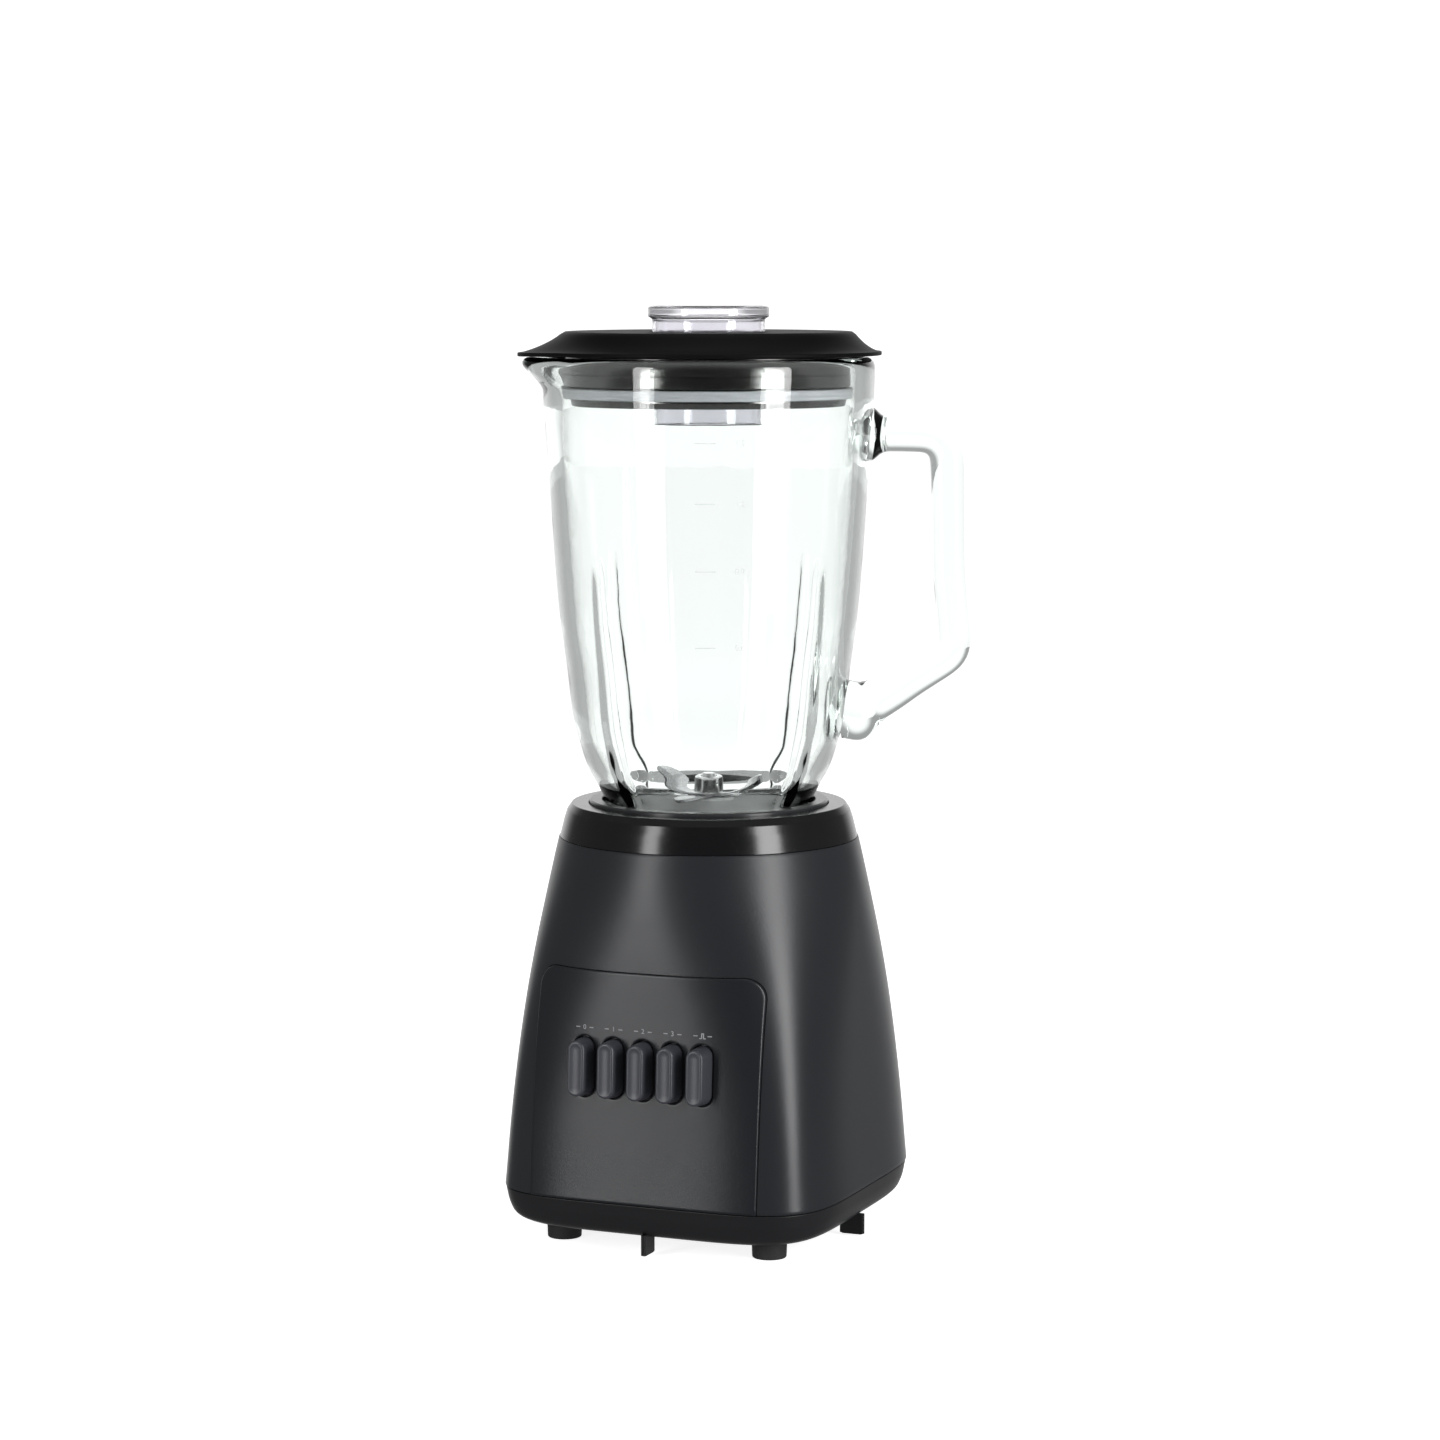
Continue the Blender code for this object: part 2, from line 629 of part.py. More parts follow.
def flute_depth(angle, z):
    """Depth of the four inward flutes, pointed at the top and running down to the foot."""
    grown = ease(FLUTE_TOP, FLUTE_TOP - 0.040, z) if z > 0.2 else ease(0.186, 0.200, z)
    width = math.radians(2.5 + 3.5 * grown)
    depth = 0.0
    for i in range(4):
        centre = HANDLE_TURN + FLUTE_TURN + i * math.pi / 2
        depth = max(depth, 1.0 - away(angle, centre) / width)
    return FLUTE_DEPTH * max(0.0, depth) * grown


def jar_ring(radius, z):
    points = []
    for i in range(JAR_STEPS):
        a = HANDLE_TURN + 2 * math.pi * i / JAR_STEPS
        off = away(a, SPOUT_TURN)
        spout = SPOUT_REACH * math.exp(-((off / math.radians(15)) ** 2)) * ease(0.338, 0.370, z)
        reach = radius + spout - flute_depth(a, z)
        points.append(Vector((reach * math.cos(a), reach * math.sin(a), z)))
    return points


def jar_outlines():
    outer = [
        (0.0380, 0.1640), (0.0380, 0.1785), (0.0430, 0.1836), (0.0481, 0.1926), (0.0517, 0.1991), (0.0547, 0.2080),
        (0.0580, 0.2210), (0.0605, 0.2420), (0.0635, 0.2643), (0.0658, 0.2924), (0.0680, 0.3272), (0.0700, 0.3550),
        (0.0703, 0.3700), (0.0690, JAR_RIM),
    ]
    inner = [
        (0.0640, JAR_RIM), (0.0626, 0.3700), (0.0612, 0.3300), (0.0590, 0.2924), (0.0568, 0.2643), (0.0530, 0.2350),
        (0.0500, 0.2130), (0.0425, 0.1940), (0.0350, JAR_FLOOR), (0.0330, 0.1640),
    ]
    return outer, inner


def handle_path():
    """Stations of the handle: reach from the axis, height and half-thickness, from the upper root down."""
    straight = [(0.0655, 0.3406, 0.0076), (0.0720, 0.3404, 0.0073), (0.0850, 0.3402, 0.0073)]
    corner = arc_stations((0.0905, 0.3295), 0.0105, 82, 4, 5, 0.0073)
    grip = [(0.1016, 0.3080, 0.0070), (0.1020, 0.2860, 0.0070), (0.1036, 0.2650, 0.0069)]
    lower_corner = arc_stations((0.0965, 0.2520), 0.0082, -4, -56, 4, 0.0070)
    lower = [(0.0880, 0.2374, 0.0076), (0.0730, 0.2283, 0.0087), (0.0610, 0.2229, 0.0098), (0.0545, 0.2215, 0.0100)]
    return straight + corner + grip + lower_corner + lower


def arc_stations(centre, radius, first, last, count, half):
    made = []
    for i in range(count):
        a = math.radians(first + (last - first) * i / (count - 1))
        made.append((centre[0] + radius * math.cos(a), centre[1] + radius * math.sin(a), half))
    return made


def handle_mesh():
    stations = handle_path()
    along = Vector((math.cos(HANDLE_TURN), math.sin(HANDLE_TURN), 0.0))
    across = Vector((-along.y, along.x, 0.0))
    up = Vector((0, 0, 1))
    places = [along * reach + up * z for reach, z, _ in stations]
    rings = []
    steps = 10
    for i, (_, _, half) in enumerate(stations):
        tangent = (places[min(i + 1, len(places) - 1)] - places[max(i - 1, 0)]).normalized()
        if i in (0, len(stations) - 1):
            tangent = along * (1 if i == 0 else -1)
        side = across.cross(tangent).normalized()
        ring = []
        for step in range(steps):
            a = 2 * math.pi * (step + 0.5) / steps
            spread = (abs(math.cos(a)) ** 3 + abs(math.sin(a)) ** 3) ** (1 / 3)
            point = side * (half * math.cos(a) / spread) + across * (0.0100 * math.sin(a) / spread)
            ring.append(places[i] + point)
        rings.append(ring)
    return mesh_of_rings(rings, False)


def make_jar(build):
    outer, inner = jar_outlines()
    rings = [jar_ring(radius, z) for radius, z in outer + inner]
    jar = build.piece("glass_jar", mesh_of_rings(rings, True), "glass")
    build.combine(jar, build.helper("jar_handle", handle_mesh()), "UNION")


def make_jar_foot(build):
    """The threaded collar, sealing ring and blade holder that close the jar's open foot."""
    collar = [
        (0.0384, 0.1780), (0.0384, 0.1593), (0.0240, 0.1593), (0.0240, 0.1560), (0.0412, 0.1560), (0.0412, 0.1503),
        (0.0440, 0.1503), (0.0440, 0.1780),
    ]
    build.turned("jar_collar", collar, 30, "lid")
    gasket = [(0.0334, 0.1619), (0.0376, 0.1619), (0.0376, 0.1637), (0.0334, 0.1637)]
    build.turned("jar_gasket", gasket, 24, "seal")
    holder = [
        (0.0070, 0.1640), (0.0070, 0.1838), (0.0095, 0.1838), (0.0110, 0.1815), (0.0326, 0.1802),
        (0.0326, 0.1616), (0.0374, 0.1616), (0.0374, 0.1597), (0.0300, 0.1597), (0.0300, 0.1778), (0.0118, 0.1782),
        (0.0112, 0.1640),
    ]
    build.turned("blade_holder", holder, 24, "steel")
    build.turned("shaft_bush", [(0.0036, 0.1645), (0.0067, 0.1645), (0.0067, 0.1825), (0.0036, 0.1825)], 16, "copper")
    seal = [(0.0036, 0.1828), (0.0067, 0.1828), (0.0067, 0.1838), (0.0036, 0.1846)]
    build.turned("shaft_seal", seal, 16, "rubber")


def blade_mesh(lift, reach, width):
    """One two-armed blade: flat in the middle, with both arms bent by lift, sharpened towards the tips."""
    stations = [
        (-reach, lift, 0.35, 0.45), (-reach * 0.72, lift * 0.72, 0.85, 1.0), (-0.0085, 0.0, 1.0, 1.0),
        (0.0085, 0.0, 1.0, 1.0), (reach * 0.72, lift * 0.72, 0.85, 1.0), (reach, lift, 0.35, 0.45),
    ]
    rings = []
    for x, z, across, thick in stations:
        half = width / 2 * across
        depth = 0.0008 * thick
        rings.append([Vector((x, -half, z - depth)), Vector((x, half, z - depth / 2)),
                      Vector((x, half, z + depth)), Vector((x, -half, z + depth / 2))])
    return mesh_of_rings(rings, False)


def make_blades(build):
    build.stacked("blade_shaft", [(0.0030, 0.1600), (0.0033, 0.1606), (0.0033, 0.1935), (0.0026, 0.1950)], 16, "steel")
    for name, height, lift, turn in (("blade_lower", 0.1866, -0.0012, 62), ("blade_upper", 0.1889, 0.0062, -28)):
        bm = blade_mesh(lift, 0.0265 if lift < 0 else 0.0250, 0.0125)
        spin = Matrix.Rotation(HANDLE_TURN + math.radians(turn), 4, "Z")
        bmesh.ops.transform(bm, matrix=Matrix.Translation((0, 0, height)) @ spin, verts=bm.verts)
        blade = build.piece(name, bm, "steel")
        hole = bmesh.new()
        add_cylinder(hole, 0.0, 0.0, height - 0.004, height + 0.004, 0.0036, 16)
        build.combine(blade, build.helper(name + "_hole", hole), "DIFFERENCE")
    build.turned(
        "blade_nut", [(0.0042, 0.1902), (0.0062, 0.1902), (0.0062, 0.1932), (0.0052, 0.1940), (0.0042, 0.1940)],
        6, "steel",
    )
    driven = build.turned(
        "driven_coupler", [(0.0036, 0.1563), (0.0130, 0.1563), (0.0130, 0.1585), (0.0100, 0.1625), (0.0036, 0.1625)],
        24, "nylon",
    )
    build.combine(driven, build.helper("driven_lugs", lug_mesh(0.1526, 0.1575, math.pi / 3)), "UNION")


# ---------------------------------------------------------------- lid and cap

def lid_ring(radius, z, share):
    """share is how much of the spout cover's reach this ring takes."""
    points = []
    for i in range(BODY_STEPS):
        a = HANDLE_TURN + 2 * math.pi * i / BODY_STEPS
        near = math.exp(-((away(a, SPOUT_TURN) / math.radians(19)) ** 2))
        reach = radius + 0.0077 * near * share
        points.append(Vector((reach * math.cos(a), reach * math.sin(a), z - 0.0006 * near * share)))
    return points


def make_lid(build):
    flare = []
    for i in range(5):
        s = i / 4
        flare.append((0.0612 + 0.0121 * s, LID_TOP - 0.0083 * (1 - (1 - s) ** 1.8), s))
    outer = [(0.0248, 0.3833, 0.0), (0.0253, LID_TOP, 0.0)] + flare
    under = [
        (0.0731, 0.3738, 1.0), (0.0640, 0.3738, 0.5), (0.0607, 0.3770, 0.0), (0.0560, 0.3806, 0.0), (0.0270, 0.3808, 0.0),
        (0.0262, 0.3700, 0.0), (0.0245, 0.3700, 0.0),
    ]
    rings = [lid_ring(radius, z, share) for radius, z, share in outer + under]
    build.piece("lid", mesh_of_rings(rings, True), "lid")


def make_lid_sleeve(build):
    sleeve = [
        (0.0566, 0.3797), (0.0597, 0.3766), (0.0604, 0.3732), (0.0599, 0.3611), (0.0582, 0.3608), (0.0583, 0.3553),
        (0.0577, 0.3530), (0.0560, 0.3530), (0.0570, 0.3720), (0.0550, 0.3792),
    ]
    build.turned("lid_sleeve", sleeve, BODY_STEPS, "band")
    gasket = [(0.0587, 0.3560), (0.0589, 0.3604), (0.0616, 0.3600), (0.0610, 0.3582), (0.0614, 0.3560)]
    build.turned("lid_gasket", gasket, BODY_STEPS, "seal")


def make_filler_cap(build):
    """A clear cup turned upside down: closed flanged top, open foot."""
    inner = [(0.0020, 0.3914), (0.0200, 0.3908), (0.0220, 0.3885)]
    outer = [
        (0.0218, 0.3458), (0.0233, 0.3458), (0.0240, 0.3896), (0.0257, 0.3902), (0.0257, 0.3936), (0.0247, 0.3943),
        (0.0020, CAP_TOP),
    ]
    rings = [circle(32, radius, z) for radius, z in inner + outer]
    build.piece("filler_cap", mesh_of_rings(rings, False), "clear")


# ---------------------------------------------------------------- whole object

def main():
    for old in list(bpy.data.objects):
        bpy.data.objects.remove(old, do_unlink=True)
    build = Builder()
    make_housing(build)
    make_control_panel(build)
    make_keys(build)
    make_top_collar(build)
    make_jar_seat(build)
    make_bottom_cover(build)
    make_feet(build)
    make_case_screws(build)
    make_cord_inlet(build)
    make_motor_brackets(build)
    make_stator(build)
    make_field_coils(build)
    make_rotor(build)
    make_bearings(build)
    make_brushes(build)
    make_motor_fixings(build)
    make_switches(build)
    make_jar(build)
    make_jar_foot(build)
    make_blades(build)
    make_lid(build)
    make_lid_sleeve(build)
    make_filler_cap(build)


if __name__ == "__main__":
    main()
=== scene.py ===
"""Countertop blender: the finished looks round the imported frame, laid out as an add-on and run as a script.

Metres, +Z up. The control panel faces -Y. Every piece is placed in its mesh, round the motor's upright axis.
"""

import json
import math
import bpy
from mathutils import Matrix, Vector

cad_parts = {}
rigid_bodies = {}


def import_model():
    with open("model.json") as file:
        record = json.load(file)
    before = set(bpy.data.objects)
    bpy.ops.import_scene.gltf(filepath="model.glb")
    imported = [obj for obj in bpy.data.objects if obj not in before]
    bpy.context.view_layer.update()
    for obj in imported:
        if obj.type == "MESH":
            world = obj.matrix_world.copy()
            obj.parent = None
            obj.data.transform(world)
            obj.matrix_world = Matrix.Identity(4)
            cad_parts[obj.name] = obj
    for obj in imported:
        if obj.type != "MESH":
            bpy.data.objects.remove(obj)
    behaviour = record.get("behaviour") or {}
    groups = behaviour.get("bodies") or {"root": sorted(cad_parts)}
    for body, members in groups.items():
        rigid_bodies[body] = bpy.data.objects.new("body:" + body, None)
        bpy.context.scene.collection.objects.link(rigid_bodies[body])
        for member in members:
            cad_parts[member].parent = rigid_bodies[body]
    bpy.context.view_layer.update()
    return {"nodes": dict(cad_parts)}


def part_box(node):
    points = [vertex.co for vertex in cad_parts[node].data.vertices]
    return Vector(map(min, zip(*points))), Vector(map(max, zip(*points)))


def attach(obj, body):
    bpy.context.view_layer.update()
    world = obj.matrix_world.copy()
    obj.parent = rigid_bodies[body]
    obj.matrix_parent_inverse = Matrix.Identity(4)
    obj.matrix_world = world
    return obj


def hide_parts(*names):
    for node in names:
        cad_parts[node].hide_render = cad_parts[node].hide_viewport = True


bl_info = {
    "name": "Countertop Blender",
    "version": (1, 0, 0),
    "blender": (4, 5, 0),
    "location": "View3D > Sidebar > Blender",
    "description": "Builds a countertop blender with a fluted glass jar, piece by piece",
    "category": "Object",
}

import bmesh
import bpy
import numpy as np
from bpy.props import FloatProperty, FloatVectorProperty, IntProperty, PointerProperty
from mathutils import Matrix, Vector
from mathutils.geometry import delaunay_2d_cdt

for started in list(bpy.data.objects):
    bpy.data.objects.remove(started, do_unlink=True)

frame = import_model()
SHAFT_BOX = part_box("rotor_shaft")
AXIS = [(SHAFT_BOX[0][i] + SHAFT_BOX[1][i]) / 2 for i in (0, 1)]

FULL_TURN = 2 * math.pi
CAMERA_TURN = math.radians(22.5)
HANDLE_TURN = math.radians(22.5)
SPOUT_TURN = HANDLE_TURN + math.pi
FLUTE_TURN = math.radians(45)
PANEL_PROUD = 0.0008
PANEL_THICK = 0.0017
PANEL_TOP = 0.120
PANEL_HALF = 0.051
PANEL_CORNER = 0.009
KEY_NAMES = ["key_off", "key_1", "key_2", "key_3", "key_pulse"]
KEY_PITCH = 0.0133
KEY_Z = 0.0798
SEAM_Z = 0.0233
FOOT_REACH = 0.047
INLET_Z = 0.034


# ---------------------------------------------------------------- sizes and colours

class BlenderSizes(bpy.types.PropertyGroup):
    wall: FloatProperty(name="Housing wall", description="Thickness of the housing", default=0.0028, unit="LENGTH")
    flute_depth: FloatProperty(
        name="Flute depth", description="Depth of the grooves in the jar", default=0.0016, unit="LENGTH"
    )
    flute_top: FloatProperty(
        name="Flute top", description="Height where the grooves run out", default=0.296, unit="LENGTH"
    )
    spout_reach: FloatProperty(
        name="Spout reach", description="How far the spout stands out", default=0.0092, unit="LENGTH"
    )
    key_width: FloatProperty(name="Key width", description="Width of a key", default=0.0086, unit="LENGTH")
    key_height: FloatProperty(name="Key height", description="Height of a key", default=0.0243, unit="LENGTH")
    key_proud: FloatProperty(
        name="Key stand-off", description="How far a key stands off the panel", default=0.0088, unit="LENGTH"
    )
    key_dish: FloatProperty(
        name="Key dish", description="Depth of the hollow in a key's face", default=0.0003, unit="LENGTH"
    )
    grip_ribs: IntProperty(name="Grip ribs", description="Ribs round the jar collar", default=48, min=12)
    digit_height: FloatProperty(
        name="Digit height", description="Size of the digits on panel and jar", default=0.0034, unit="LENGTH"
    )


def colour(name, description, default):
    return FloatVectorProperty(name=name, description=description, default=default, subtype="COLOR", min=0, max=1)


class BlenderColours(bpy.types.PropertyGroup):
    housing: colour("Housing", "Satin plastic of the base", (0.0168, 0.0182, 0.0210))
    panel: colour("Panel", "Plastic of the control panel", (0.0118, 0.0130, 0.0155))
    keys: colour("Keys", "Plastic of the five keys", (0.045, 0.047, 0.056))
    lid: colour("Lid", "Plastic of the lid and the tray", (0.0042, 0.0042, 0.0045))
    gloss: colour("Deck", "Glossy plastic round the jar's seat", (0.0065, 0.0066, 0.0072))
    glass: colour("Glass", "Tint of the jar", (0.985, 1.0, 0.993))
    cap: colour("Cap", "Tint of the filler cap", (0.90, 0.89, 0.93))
    gasket: colour("Gasket", "Silicone of the lid gasket", (0.80, 0.81, 0.85))
    print: colour("Print", "Ink of the digits on the panel", (0.34, 0.345, 0.36))


# ---------------------------------------------------------------- node trees

class Socket:
    """One output of a node, so that sums on it are written as plain Python."""

    def __init__(self, tree, link):
        self.tree = tree
        self.link = link

    def sum(self, operation, *values):
        return self.tree.node("ShaderNodeMath", {"operation": operation}, dict(enumerate(values)))

    def __add__(self, other):
        return self.sum("ADD", self, other)

    def __radd__(self, other):
        return self.sum("ADD", other, self)

    def __sub__(self, other):
        return self.sum("SUBTRACT", self, other)

    def __rsub__(self, other):
        return self.sum("SUBTRACT", other, self)

    def __mul__(self, other):
        return self.sum("MULTIPLY", self, other)

    def __rmul__(self, other):
        return self.sum("MULTIPLY", other, self)

    def __truediv__(self, other):
        return self.sum("DIVIDE", self, other)

    def __rtruediv__(self, other):
        return self.sum("DIVIDE", other, self)

    def __pow__(self, other):
        return self.sum("POWER", self, other)

    def __gt__(self, other):
        return self.sum("GREATER_THAN", self, other)

    def __lt__(self, other):
        return self.sum("LESS_THAN", self, other)


class Tree:
    """A node tree that is filled one node at a time."""

    def __init__(self, tree):
        self.tree = tree

    def node(self, kind, settings=None, sockets=None, out=0):
        made = self.tree.nodes.new(kind)
        for key, value in (settings or {}).items():
            if key == "stops":
                while len(made.color_ramp.elements) < len(value):
                    made.color_ramp.elements.new(0.5)
                for element, (place, shade) in zip(made.color_ramp.elements, value):
                    element.position = place
                    element.color = (shade, shade, shade, 1)
            else:
                setattr(made, key, value)
        for key, value in (sockets or {}).items():
            if isinstance(value, Socket):
                self.tree.links.new(value.link, made.inputs[key])
            else:
                made.inputs[key].default_value = value
        return Socket(self, made.outputs[out]) if len(made.outputs) else None

    def ease(self, value, low, high, start=0.0, end=1.0):
        """Start below low, end above high, and a smooth rise between."""
        return self.node(
            "ShaderNodeMapRange", {"interpolation_type": "SMOOTHSTEP"}, {0: value, 1: low, 2: high, 3: start, 4: end}
        )

    def mix(self, share, first, second):
        return self.node("ShaderNodeMix", {"data_type": "RGBA"}, {0: share, 6: first, 7: second}, 2)


class Paint(Tree):
    """A material's tree, with the textures that the finishes share."""

    def __init__(self, name):
        self.material = bpy.data.materials.new(name)
        self.material.use_nodes = True
        super().__init__(self.material.node_tree)
        self.tree.nodes.clear()
        self.place = self.node("ShaderNodeTexCoord", out="Object")

    def noise(self, scale, detail=2.0, place=None, roughness=0.5):
        sockets = {"Vector": place or self.place, "Scale": scale, "Detail": detail, "Roughness": roughness}
        return self.node("ShaderNodeTexNoise", {}, sockets)

    def parts(self):
        return [self.node("ShaderNodeSeparateXYZ", {}, {0: self.place}, axis) for axis in "XYZ"]

    def from_axis(self):
        """Distance from the motor's axis, and height."""
        x, y, z = self.parts()
        x, y = x - AXIS[0], y - AXIS[1]
        return (x * x + y * y) ** 0.5, z

    def join(self, x, y, z):
        return self.node("ShaderNodeCombineXYZ", {}, {0: x, 1: y, 2: z})

    def shades(self, shade, share, low=0.8, high=1.2):
        """The colour, darker where share is 0 and lighter where it is 1."""
        return self.mix(share, (*[c * low for c in shade], 1), (*[c * high for c in shade], 1))

    def relief(self, height, distance, strength=1.0):
        return self.node("ShaderNodeBump", {}, {"Height": height, "Distance": distance, "Strength": strength})

    def surface(self, **sockets):
        named = {key.replace("_", " "): value for key, value in sockets.items()}
        shader = self.node("ShaderNodeBsdfPrincipled", {}, named)
        self.output = self.tree.nodes.new("ShaderNodeOutputMaterial")
        self.tree.links.new(shader.link, self.output.inputs["Surface"])
        return self.material


# ---------------------------------------------------------------- finishes

def moulded(name, shade, roughness, grain=2600.0, relief=0.00002, specular=0.5):
    """Moulded plastic: a fine spark texture, with slow drifts of shade and sheen."""
    paint = Paint(name)
    fine = paint.noise(grain, 2)
    slow = paint.noise(14, 3)
    scuff = paint.noise(90, 6, roughness=0.7)
    share = slow * 0.6 + fine * 0.4
    return paint.surface(
        Base_Color=paint.shades(shade, share, 0.86, 1.16),
        Roughness=roughness - 0.05 + slow * 0.06 + scuff * 0.04,
        Specular_IOR_Level=specular,
        Normal=paint.relief(fine + paint.noise(grain / 3, 1) * 0.6, relief),
    )


def polished_plastic(name, shade, roughness=0.15):
    """Glossy plastic: a faint ripple from the mould and a few hair scratches."""
    paint = Paint(name)
    ripple = paint.noise(45, 2)
    hair = paint.ease(paint.noise(700, 3), 0.60, 0.72)
    return paint.surface(
        Base_Color=paint.shades(shade, ripple, 0.85, 1.15),
        Roughness=roughness + ripple * 0.04 + hair * 0.05,
        Normal=paint.relief(ripple, 0.00006),
    )


def turned_metal(name, shade, roughness, metallic=1.0, lines=5200.0, depth=0.000006):
    """Metal with the fine rings that turning and polishing leave round the axis."""
    paint = Paint(name)
    radius, height = paint.from_axis()
    rings = paint.noise(1.0, 3, paint.join(radius * lines, height * lines, 0.0))
    slow = paint.noise(30, 2)
    return paint.surface(
        Base_Color=paint.shades(shade, rings * 0.5 + slow * 0.5, 0.88, 1.08),
        Metallic=metallic,
        Roughness=roughness + rings * 0.08 + slow * 0.05,
        Normal=paint.relief(rings, depth),
    )


def clear_glass():
    """Pressed glass: slightly wavy, with a little green in its thickness."""
    paint = Paint("jar_glass")
    tint = bpy.context.scene.blender_colours.glass
    wave = paint.noise(34, 1) + paint.noise(110, 1) * 0.25
    material = paint.surface(
        Base_Color=(*tint, 1),
        Roughness=0.0,
        IOR=1.5,
        Transmission_Weight=1.0,
        Normal=paint.relief(wave, 0.00012),
    )
    depth = paint.node("ShaderNodeVolumeAbsorption", {}, {"Color": (0.45, 0.62, 0.55, 1), "Density": 9.0})
    paint.tree.links.new(depth.link, paint.output.inputs["Volume"])
    return material


def clear_plastic():
    """Clear moulded cap: smooth, slightly hazed, with soft flow lines."""
    paint = Paint("cap_plastic")
    flow_lines = paint.noise(60, 2)
    return paint.surface(
        Base_Color=(*bpy.context.scene.blender_colours.cap, 1),
        Roughness=paint.ease(flow_lines, 0.3, 0.7, 0.02, 0.09),
        IOR=1.49,
        Transmission_Weight=0.94,
        Normal=paint.relief(flow_lines, 0.0002),
    )


def soft_silicone(name, shade, roughness=0.45):
    paint = Paint(name)
    dust = paint.noise(1500, 3)
    return paint.surface(
        Base_Color=paint.shades(shade, paint.noise(120, 3), 0.9, 1.1),
        Roughness=roughness + dust * 0.1,
        Subsurface_Weight=0.15,
        Subsurface_Radius=(0.004, 0.004, 0.004),
        Normal=paint.relief(dust, 0.00003),
    )


def rubber():
    paint = Paint("foot_rubber")
    dust = paint.noise(1800, 4)
    return paint.surface(
        Base_Color=paint.shades((0.017, 0.017, 0.017), paint.noise(200, 4), 0.7, 1.7),
        Roughness=0.62 + dust * 0.2,
        Normal=paint.relief(dust, 0.00006),
    )


def wound_copper():
    """Enamelled wire, lying side by side, with the grooves between the turns painted darker: painted shade."""
    paint = Paint("enamelled_copper")
    x, y, z = paint.parts()
    turn_ridges_and_painted_shade = paint.node("ShaderNodeTexWave", {"bands_direction": "Z"}, {"Vector": paint.place, "Scale": 420.0,
                                                                        "Distortion": 1.2, "Detail": 1.0})
    return paint.surface(
        # Dark copper in the grooves between the turns: painted shade.
        Base_Color=paint.mix(turn_ridges_and_painted_shade, (0.16, 0.035, 0.010, 1), (0.62, 0.22, 0.08, 1)),
        Metallic=0.9,
        Roughness=0.30 + turn_ridges_and_painted_shade * 0.1,
        Normal=paint.relief(turn_ridges_and_painted_shade, 0.00015),
    )


def stacked_steel():
    """Thin stamped sheets, seen edge on."""
    paint = Paint("stacked_laminate")
    sheets = paint.node("ShaderNodeTexWave", {"bands_direction": "Z"}, {"Vector": paint.place, "Scale": 320.0})
    rust = paint.ease(paint.noise(160, 5), 0.60, 0.75)
    return paint.surface(
        Base_Color=paint.mix(rust * 0.5, paint.shades((0.20, 0.20, 0.21), sheets, 0.5, 1.2), (0.16, 0.09, 0.06, 1)),
        Metallic=0.8,
        Roughness=0.42 + rust * 0.2,
        Normal=paint.relief(sheets, 0.0001),
    )


def plain_metal(name, shade, roughness, scale=900.0):
    """Rolled or sintered metal with a fine even grain."""
    paint = Paint(name)
    grain = paint.noise(scale, 4)
    return paint.surface(
        Base_Color=paint.shades(shade, grain, 0.8, 1.15),
        Metallic=1.0,
        Roughness=roughness + grain * 0.12,
        Normal=paint.relief(grain, 0.00002),
    )


def carbon_block():
    paint = Paint("pressed_carbon")
    grain = paint.noise(3000, 4)
    return paint.surface(
        Base_Color=paint.shades((0.022, 0.022, 0.023), grain, 0.6, 1.6),
        Roughness=0.5 + grain * 0.2,
        Normal=paint.relief(grain, 0.00004),
    )


def board_resin():
    """Green board with a hint of the glass weave in it."""
    paint = Paint("board_resin")
    weave = paint.node("ShaderNodeTexWave", {"bands_direction": "X"}, {"Vector": paint.place, "Scale": 500.0})
    cross = paint.node("ShaderNodeTexWave", {"bands_direction": "Z"}, {"Vector": paint.place, "Scale": 500.0})
    return paint.surface(
        Base_Color=paint.shades((0.012, 0.110, 0.045), weave * 0.5 + cross * 0.5, 0.8, 1.15),
        Roughness=0.32,
        Normal=paint.relief(weave + cross, 0.00003),
    )


def ink(name, shade):
    """Screen-printed ink, a little uneven in cover."""
    paint = Paint(name)
    cover = paint.noise(2200, 3)
    return paint.surface(
        Base_Color=paint.shades(shade, cover, 0.85, 1.12),
        Roughness=0.5 + cover * 0.1,
        Normal=paint.relief(cover, 0.00001),
    )


